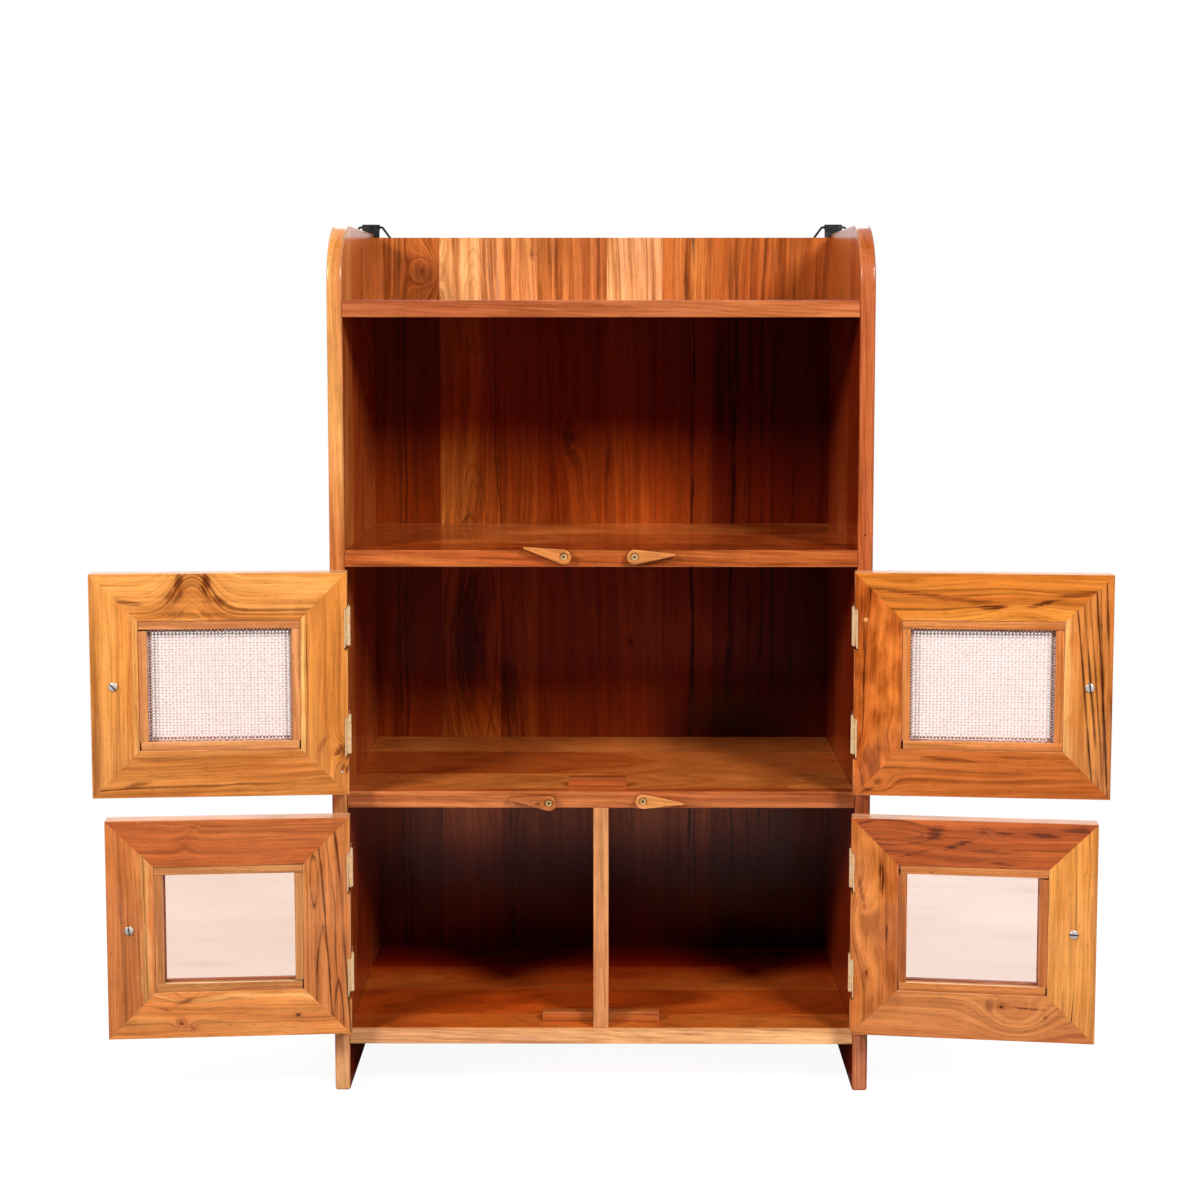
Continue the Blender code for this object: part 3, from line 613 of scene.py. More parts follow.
def carve(obj, *cutters):
    for cutter in cutters:
        tool = bareObject("cutter", cutter)
        modifier = obj.modifiers.new("cut", "BOOLEAN")
        modifier.operation, modifier.solver, modifier.object = "DIFFERENCE", "EXACT", tool
        graph = bpy.context.evaluated_depsgraph_get()
        carved = bpy.data.meshes.new_from_object(obj.evaluated_get(graph))
        obj.modifiers.clear()
        old = obj.data
        obj.data = carved
        bpy.data.meshes.remove(old)
        bpy.data.objects.remove(tool)
    return obj


# marks the faces to be darkened inside a screw's slot or cross: dirt, and painted shade where light does not
# reach
def darkenRecess(obj, inRecess):
    layer = obj.data.attributes.new("dirt", "FLOAT", "FACE")
    layer.data.foreach_set("value", [float(inRecess(face.center)) for face in obj.data.polygons])
    return obj


def inBar(centre, angle, halfWidth, reach=1.0):
    level = Matrix.Rotation(math.radians(-angle), 3, "Z") @ centre
    return abs(level.y) < halfWidth + tiny and abs(level.x) < reach + tiny


def settle(obj, finish, body, slot, *nodes, sharp=None):
    mesh = obj.data
    mesh.materials.clear()
    mesh.materials.append(finish)
    mesh.polygons.foreach_set("use_smooth", [True] * len(mesh.polygons))
    if sharp is not None:
        mesh.set_sharp_from_angle(angle=math.radians(sharp))
    else:
        evener = obj.modifiers.new("evenNormals", "WEIGHTED_NORMAL")
        evener.weight = 60
        evener.keep_sharp = True
    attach(obj, body)
    if nodes:
        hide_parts(*nodes)
    return obj


def layGrain(obj, boardOf, arris=0.18):
    mesh = obj.data
    flags = mesh.attributes.get("arris")
    grain, spot, board = [], [], []
    for face in mesh.polygons:
        place, heart, tone, seed, veil = boardOf(face)
        # bevelled faces take the edge paleness, worn edges with a painted highlight; other faces take their
        # painted glare
        worn = arris if flags and flags.data[face.index].value else veil
        for index in face.vertices:
            co = mesh.vertices[index].co
            along, across, depth = place(co)
            grain += [along, across + heart[0], depth + heart[1]]
            spot += [along, across, depth]
            board += [tone(co) if callable(tone) else tone, seed, worn]
    for name, values in (("grain", grain), ("spot", spot), ("board", board)):
        layer = mesh.attributes.new(name, "FLOAT_VECTOR", "CORNER")
        layer.data.foreach_set("vector", values)
    if flags:
        mesh.attributes.remove(mesh.attributes["arris"])
    return obj


def seedOf(seeds, *numbers):
    start, *steps = seeds
    return start + sum(step * number for step, number in zip(steps, numbers))


def plainBoard(order, heart, tone, seed):
    return lambda face: (lambda co: [co[axis] for axis in order], heart, tone, seed, 0.0)


# Glued panels: each plank has its own tone and place in its tree, and inside the bays a painted shade darkens
# the faces, on the walls more towards the ceiling
bays = {
    "bottom_shelf": {"floor": (-0.22, -0.22), "back": (-0.87, -0.87), "left": (-0.30, -0.60),
                     "right": (-0.40, -0.66)},
    "cupboard_shelf": {"floor": (-0.12, -0.12), "back": (-0.52, -0.75), "left": (-0.22, -0.46),
                       "right": (-0.42, -0.60)},
    "open_shelf": {"floor": (-0.20, -0.20), "back": (-0.47, -0.73), "left": (-0.10, -0.40),
                   "right": (-0.34, -0.56)},
}
bayLevels = [(sum(c.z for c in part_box(name)) / 2, tones) for name, tones in bays.items()]
bayTop = sum(c.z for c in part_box("top_shelf")) / 2
bayHeights = [level for level, tones in bayLevels] + [bayTop]
plankSeed = 3.7


# painted shade inside a bay: a tone for each kind of face, blended from the bay's floor to its ceiling
def bayShade(faceHeight, height, kind):
    for (level, tones), ceiling in zip(bayLevels, bayHeights[1:]):
        if level < faceHeight < ceiling:
            share = min(max((height - level) / (ceiling - level), 0.0), 1.0)
            return tones[kind][0] + (tones[kind][1] - tones[kind][0]) * share
    return 0.0


def gluedPanel(name, shape, axes, planks, seed, lay):
    alongAxis, acrossAxis, depthAxis = axes
    for plank in planks[1:]:
        cutAcross(shape, acrossAxis, plank[0])
    if lay.get("upright"):
        for level in bayHeights:
            cutAcross(shape, 2, level)
    obj = bareObject(name, ease(shape, lay["arris"]))

    def place(co):
        return co[alongAxis], co[acrossAxis], co[depthAxis]

    def boardOf(face):
        index = max(i for i in range(len(planks)) if i == 0 or face.center[acrossAxis] > planks[i][0])
        plank, centre, normal = planks[index], face.center.copy(), face.normal.copy()

        def tone(co):
            inside = lay["inside"](centre, normal, co)
            return (1 + plank[-1 if inside else 2]) * (1 + inside) - 1

        # faces that look to the front get a pale wash of painted glare, with their own strength on the feet
        # and in the tray
        veil = 0.0
        if normal.y < -squareOn:
            veil = lay.get("veil", 0.0)
            if centre.z < bayLevels[0][0]:
                veil = lay.get("footVeil", veil)
            if centre.z > bayTop:
                veil = lay.get("trayVeil", veil)
        return place, plank[1], tone, seed + index * plankSeed, veil

    return layGrain(obj, boardOf)


# Side panels, rounded at the top front: planks give front edge, place in the tree and tone
sidePanel = {
    # the inner faces below the bottom shelf are painted dark, a painted shade under the cabinet
    "topRadius": 0.072, "arcSteps": 32, "arris": 0.0028, "upright": True, "footTone": -0.62,
    # the front faces, and the feet, get a pale wash of painted glare
    "veils": {"left": (0.10, 0.20), "right": (0.15, 0.52)}, "seeds": {"left": 11.0, "right": 53.0},
    "left": [(-1.0, (0.16, 0.06), 0.0), (-0.045, (0.03, 0.05), -0.22), (0.062, (-0.11, 0.10), -0.12)],
    "right": [(-1.0, (0.15, 0.03), -0.32), (-0.030, (-0.02, 0.07), -0.12), (0.078, (-0.14, 0.05), -0.28)],
    # shades: a painted shadow lower down the left front edge, and painted light on the left foot
    "shades": {"left": ((0.62, -0.1274, 0.09, 0.02, 0.20), (0.02, -0.1274, 0.04, 0.02, -0.18)), "right": ()},
}
sideLook = {"ringGap": 0.007, "slope": 0.06, "redShare": 0.65, "deepening": (2.2, 2.5), "gloss": 0.20}


def insideOfSide(side):
    inward = 1 if side == "left" else -1

    def inside(centre, normal, co):
        if normal.x * inward < squareOn:
            return 0.0
        # below the bottom shelf a painted shade, above it the painted shade of the bay
        return sidePanel["footTone"] if centre.z < bayLevels[0][0] else bayShade(centre.z, co.z, side)

    return inside


for side, seed in sidePanel["seeds"].items():
    low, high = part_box(f"{side}_side_panel")
    radius = sidePanel["topRadius"]
    outline = [(low.y, low.z), (high.y, low.z), (high.y, high.z)]
    outline += arcPoints((low.y + radius, high.z - radius), radius, 90.0, 180.0, sidePanel["arcSteps"])
    shape = prism(outline, lambda a, b, c: (c, a, b), low.x, high.x)
    veil, footVeil = sidePanel["veils"][side]
    lay = {**sidePanel, "veil": veil, "footVeil": footVeil, "inside": insideOfSide(side)}
    panel = gluedPanel(f"{side}Side", shape, (2, 1, 0), sidePanel[side], seed, lay)
    finish = teakFinish(f"{side}SideTeak", {**sideLook, "shades": sidePanel["shades"][side]})
    settle(panel, finish, "carcass", "teak", f"{side}_side_panel")
print("sides made")


# Back panel, of upright planks: left edge, place in the tree, tone in the tray and tone in the bays, the last
# partly painted light and shade
def backInside(centre, normal, co):
    return bayShade(centre.z, co.z, "back") if normal.y < -squareOn else 0.0


backPanel = {
    # the back's front face in the tray gets a pale wash of painted glare
    "arris": 0.0004, "upright": True, "touch": 0.00005, "trayVeil": 0.17, "frontDepth": (0.001, 0.003),
    "seed": 7.0, "inside": backInside,
    "planks": [
        (-1.0, (-0.10, 0.05), -0.34, -0.20), (-0.2044, (0.42, 0.05), 0.06, 0.36),
        (-0.1295, (0.34, 0.05), -0.08, -0.02), (-0.0812, (0.30, 0.04), -0.24, -0.18),
        (0.0064, (0.30, 0.06), 0.07, -0.08), (0.0763, (-0.36, 0.05), -0.31, -0.26),
        (0.1398, (-0.42, 0.05), -0.43, -0.54), (0.2134, (-0.46, 0.05), -0.42, -0.64),
    ],
    "knots": ((0.942, -0.222, 0.024, 0.016, 0.030, 0.35), (0.732, -0.042, 0.026, 0.016, 0.016, 0.55),
              (0.47, -0.17, 0.16, 0.05, 0.03, 0.0), (0.22, -0.10, 0.05, 0.02, 0.012, 0.2),
              (0.963, -0.087, 0.006, 0.004, 0.003, 0.9), (0.472, 0.036, 0.008, 0.005, 0.005, 0.6)),
    "flames": ((0.475, -0.172, 0.130, 0.026, 0.7, 0.0), (0.40, -0.120, 0.060, 0.020, 0.6, 0.10),
               (0.70, 0.006, 0.05, 0.006, 0.5, 0.0), (0.93, 0.165, 0.05, 0.010, 0.5, 0.0),
               (0.96, -0.060, 0.03, 0.008, 0.4, 0.0), (0.80, 0.150, 0.09, 0.012, 0.5, 0.0)),
    "darkLines": ((0.1140, 0.0018, 1.0, 0.0), (0.1690, 0.0022, 0.7, 0.01), (0.1860, 0.0014, 0.5, 0.0),
                  (0.2160, 0.0016, 0.5, 0.0), (0.2400, 0.0013, 0.5, 0.0), (-0.2560, 0.0020, 0.6, 0.0),
                  (-0.0030, 0.0012, 0.4, 0.0), (-0.112, 0.0010, 0.6, 0.03), (0.1250, 0.0012, 0.8, 0.02),
                  (0.1520, 0.0016, 0.8, -0.02), (0.2020, 0.0018, 0.8, 0.0), (-0.2480, 0.0016, 0.7, 0.0)),
    "paleLines": ((-0.1990, 0.0016, 0.35, 0.0),),
    "loops": ((0.905, -0.161, 0.065, 0.017, 0.0009, 0.38), (0.905, -0.161, 0.048, 0.011, 0.0008, 0.38),
              (0.905, -0.161, 0.030, 0.006, 0.0007, 0.38), (0.625, -0.163, 0.075, 0.016, 0.0010, 0.35),
              (0.625, -0.163, 0.052, 0.009, 0.0008, 0.35), (0.470, -0.168, 0.165, 0.034, 0.0010, 0.7)),
    # shades: soft patches on the bay side, mostly painted shadows, and painted light and reflection where the
    # strength is negative, strongest at the top of the lower bays
    "shades": ((0.475, -0.168, 0.12, 0.040, 0.45), (0.365, 0.17, 0.07, 0.13, 0.93),
               (0.36, 0.0, 0.05, 0.08, 0.20), (0.455, 0.13, 0.05, 0.07, -0.45), (0.25, 0.0, 0.05, 0.50, -4.0),
               (0.27, 0.13, 0.05, 0.11, -0.8), (0.17, -0.12, 0.05, 0.10, 0.3)),
}
backLook = {
    "calm": 0.5, "ringGap": 0.0052, "ringDepth": 0.80, "slope": 0.03, "redShare": 0.55, "wander": 0.006,
    "lime": 0.35, "deepening": (2.0, 3.2), "gloss": 0.20, "streaks": 0.9, "figure": 0.32, "fibre": 0.30,
    "lineWave": 1.8,
}
innerLeft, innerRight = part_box("left_side_panel")[1].x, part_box("right_side_panel")[0].x
low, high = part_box("back_panel")
low.x, high.x = innerLeft - backPanel["touch"], innerRight + backPanel["touch"]
backMarks = {key: backPanel[key] for key in ("knots", "flames", "loops", "darkLines", "paleLines", "shades")}
frontDepth = tuple(low.y + depth for depth in backPanel["frontDepth"])
backFinish = teakFinish("backTeak", {**backLook, **backMarks, "frontDepth": frontDepth})
back = gluedPanel("back", block(low, high), (2, 0, 1), backPanel["planks"], backPanel["seed"], backPanel)
settle(back, backFinish, "carcass", "teak", "back_panel")
print("back made")


# Shelves and divider
shelf = {
    "arris": 0.0010, "touch": 0.00005, "clearOf": 0.02, "seeds": (21.0, 17),
    # the shelves' front faces get a pale wash of painted glare
    "veils": {"top_shelf": 0.32, "open_shelf": 0.06, "cupboard_shelf": 0.18, "bottom_shelf": 0.30},
    "looks": {
        "top_shelf": {"slope": 0.08, "ringDepth": 0.6, "wander": 0.014, "streaks": 0.5},
        "open_shelf": {"slope": 0.06, "gloss": 0.17, "streaks": 0.7, "figure": 0.30, "ringDepth": 0.5},
        "cupboard_shelf": {"slope": 0.05, "gloss": 0.12, "streaks": 0.7, "ringDepth": 0.5, "figure": 0.26},
        "bottom_shelf": {"slope": 0.08, "wander": 0.014, "deepening": (3.0, 4.8),
                         # the bottom shelf darkens towards the back, a painted shade
                         "shades": ((0.0, 0.14, 9.0, 0.07, 0.55),)},
    },
    "planks": {
        "top_shelf": [(-1.0, (0.07, 0.02), -0.37), (-0.035, (-0.02, 0.09), -0.26),
                      (0.070, (-0.12, 0.05), -0.12)],
        "open_shelf": [(-1.0, (0.10, 0.05), -0.35), (-0.060, (0.02, 0.10), -0.28),
                       (0.036, (-0.08, 0.08), -0.14)],
        "cupboard_shelf": [(-1.0, (0.11, 0.07), -0.32), (-0.112, (0.05, 0.10), -0.10),
                           (-0.040, (-0.03, 0.08), -0.20), (0.078, (-0.12, 0.06), -0.10)],
        "bottom_shelf": [(-1.0, (0.11, 0.05), 0.02), (-0.082, (0.02, 0.11), -0.18),
                         (0.000, (-0.06, 0.09), -0.04), (0.085, (-0.13, 0.07), -0.18)],
    },
}
shelfLook = {"ringGap": 0.006, "streaks": 0.4, "redShare": 0.6, "deepening": (2.1, 2.6)}


def shelfInside(centre, normal, co):
    height = centre.z + math.copysign(shelf["clearOf"], normal.z)
    return bayShade(height, height, "floor") if abs(normal.z) > squareOn else 0.0


for number, (name, planks) in enumerate(shelf["planks"].items()):
    low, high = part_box(name)
    low.x, high.x = innerLeft - shelf["touch"], innerRight + shelf["touch"]
    lay = {**shelf, "veil": shelf["veils"][name], "inside": shelfInside}
    board = gluedPanel(camel(name), block(low, high), (0, 1, 2), planks, seedOf(shelf["seeds"], number), lay)
    finish = teakFinish(camel(name) + "Teak", {**shelfLook, **shelf["looks"][name]})
    settle(board, finish, "carcass", "teak", name)


def dividerInside(centre, normal, co):
    return bayShade(centre.z, co.z, "right") if abs(normal.x) > squareOn else 0.0


divider = {
    # the divider's front face gets a pale wash of painted glare
    "arris": 0.0010, "veil": 0.24, "seed": 91.0,
    "planks": [(-1.0, (0.10, 0.05), -0.06), (-0.020, (-0.03, 0.09), -0.12), (0.075, (-0.10, 0.06), 0.0)],
    "inside": dividerInside,
}
low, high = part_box("centre_divider")
low.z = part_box("bottom_shelf")[1].z - shelf["touch"]
high.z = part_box("cupboard_shelf")[0].z + shelf["touch"]
middleBoard = gluedPanel("divider", block(low, high), (2, 1, 0), divider["planks"], divider["seed"], divider)
settle(middleBoard, teakFinish("dividerTeak", sideLook), "carcass", "teak", "centre_divider")
print("shelves and divider made")


# Door stops, rough little blocks
stopBlock = {
    "arris": 0.0009, "heart": (0.1, 0.02), "seeds": (5.0, 9),
    "tones": {"upper_door_stop": -0.42, "lower_left_door_stop": -0.10, "lower_right_door_stop": -0.20},
}
stopFinish = teakFinish("stopTeak", {"ringGap": 0.004, "ringDepth": 0.5, "redShare": 0.9, "gloss": 0.14})
for number, (name, tone) in enumerate(stopBlock["tones"].items()):
    stop = bareObject(camel(name.replace("_door", "")), ease(block(*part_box(name)), stopBlock["arris"], 2))
    layGrain(stop, plainBoard((0, 1, 2), stopBlock["heart"], tone, seedOf(stopBlock["seeds"], number)))
    settle(stop, stopFinish, "carcass", "teak", name)


# Turn buttons and their cross-headed screws
button = {
    "radius": 0.0085, "reach": 0.045, "tipRadius": 0.0012, "thickness": 0.008, "arris": 0.0019,
    "arrisVeil": 0.05, "hole": 0.0023, "mouth": 0.0052, "sink": 0.0015, "headRadius": 0.0038, "shank": 0.0018,
    "point": 0.004, "screwLength": 0.022, "headCrown": 0.0001, "headEdge": 0.0003, "crossWidth": 0.0010,
    "crossReach": 0.0021, "crossDepth": 0.0016, "heart": (0.05, 0.03), "cut": (-0.01, 0.02),
    "headBevel": 0.94, "sides": 36, "arcSteps": (44, 10), "seeds": (31.0, 7),
    "tilt": {"upper_left": 13.0, "upper_right": 3.0, "lower_left": 6.0, "lower_right": -3.5},
    "tone": {"upper_left": 0.0, "upper_right": 0.0, "lower_left": -0.06, "lower_right": 0.0},
    "crossTurn": {"upper_left": 20.0, "upper_right": 40.0, "lower_left": 10.0, "lower_right": 30.0},
}
toFront = spun(90, "X")
buttonLook = {
    "pale": (230, 152, 84), "mid": (214, 130, 66), "ringGap": 0.0042, "ringDepth": 0.5, "redShare": 0.4,
    "wander": 0.008,
}
knottyLook = {**buttonLook, "ringDepth": 0.8, "knots": ((0.012, 0.002, 0.012, 0.006, 0.012, 0.6),)}
buttonFinish, knottyFinish = teakFinish("buttonTeak", buttonLook), teakFinish("knottyTeak", knottyLook)


def dropShape():
    narrowing = math.degrees(math.acos((button["radius"] - button["tipRadius"]) / button["reach"]))
    outline = arcPoints((0.0, 0.0), button["radius"], narrowing, 360.0 - narrowing, button["arcSteps"][0])
    tip = (button["reach"], 0.0)
    outline += arcPoints(tip, button["tipRadius"], -narrowing, narrowing, button["arcSteps"][1])
    shape = prism(outline, lambda a, b, c: (a, c, b), -button["thickness"], 0.0)

    def onFace(e):
        return all(v.co.y < -button["thickness"] + tiny for v in e.verts)

    return ease(shape, button["arris"], 3, onFace)


headTop = button["thickness"] - button["sink"]
headLow = headTop - (button["headRadius"] - button["shank"])
inner, outer = button["cut"]
buttonHole = [(0.0, inner), (button["hole"], inner), (button["hole"], headLow)]
buttonHole += [(button["mouth"], headTop), (button["mouth"], outer), (0.0, outer)]
buttonScrew = [(0.0, -button["screwLength"]), (button["shank"], -button["screwLength"] + button["point"])]
buttonScrew += [(button["shank"], headLow), (button["headRadius"], headTop - button["headEdge"])]
buttonScrew += [(button["headRadius"] * button["headBevel"], headTop), (0.0, headTop + button["headCrown"])]
for number, (name, tilt) in enumerate(button["tilt"].items()):
    pivot = Matrix.Translation(swings[f"{name}_button_turn"]["pos_m"])
    drop = bareObject(camel(f"{name}_button"), dropShape())
    carve(drop, turn(lathe(buttonHole, button["sides"]), toFront))
    board = plainBoard((0, 2, 1), button["heart"], button["tone"][name], seedOf(button["seeds"], number))
    layGrain(drop, board, button["arrisVeil"])
    moveTo(drop, pivot @ spun(180.0 + tilt if name.endswith("left") else -tilt, "Y"))
    finish = knottyFinish if name == "lower_left" else buttonFinish
    settle(drop, finish, f"{name}_button", "teak", f"{name}_turn_button")
    screw = bareObject(camel(f"{name}_button_screw"), lathe(buttonScrew, button["sides"]))
    wide, deep, reach = button["crossWidth"] / 2, button["crossDepth"], button["crossReach"]
    crossTurns = [button["crossTurn"][name] + quarter for quarter in (0.0, 90.0)]
    for angle in crossTurns:
        bar = block((-reach, -wide, headTop - deep), (reach, wide, headTop + deep))
        carve(screw, turn(bar, spun(angle, "Z")))
    # the cross recess is darkened: dirt and painted shade
    darkenRecess(screw, lambda c: c.z < headTop - tiny and any(inBar(c, angle, wide, reach) for angle in crossTurns))
    moveTo(screw, pivot @ toFront)
    settle(screw, brassFinish, "carcass", "brass", f"{name}_turn_button_screw", sharp=32)
print("stops, buttons and button screws made")


# Doors: sizes as they hang, and the figure of each member
door = {
    "thickness": 0.020, "stile": 0.053, "bead": 0.0095, "lip": 0.007, "beadSetback": 0.0008, "fit": 0.0003,
    # the top face of each top rail gets a pale wash, a painted reflection
    "edge": -0.0012, "face": 0.0034, "mitreGap": 0.00004, "arris": 0.0010, "topVeil": 0.55,
    "knobInset": 0.025,
    "width": {"upper": 0.2832, "lower": 0.27095}, "height": {"upper": 0.251, "lower": 0.2494},
    "lipExtra": {"upper": 0.0022, "lower": 0.0006}, "topLip": {"upper": 0.0022, "lower": 0.0},
    # the lips' faces behind the glass and the wire are painted darker, a painted shade, darkest on the upper
    # doors
    "lipTone": {"upper": -0.8, "lower": -0.15}, "screwHole": 0.0027, "holeCut": (-0.01, 0.03),
    "mortiseCut": (-0.004, -0.006), "mortiseOver": 0.004, "holeSides": 28, "seeds": (101.0, 40, 9),
}
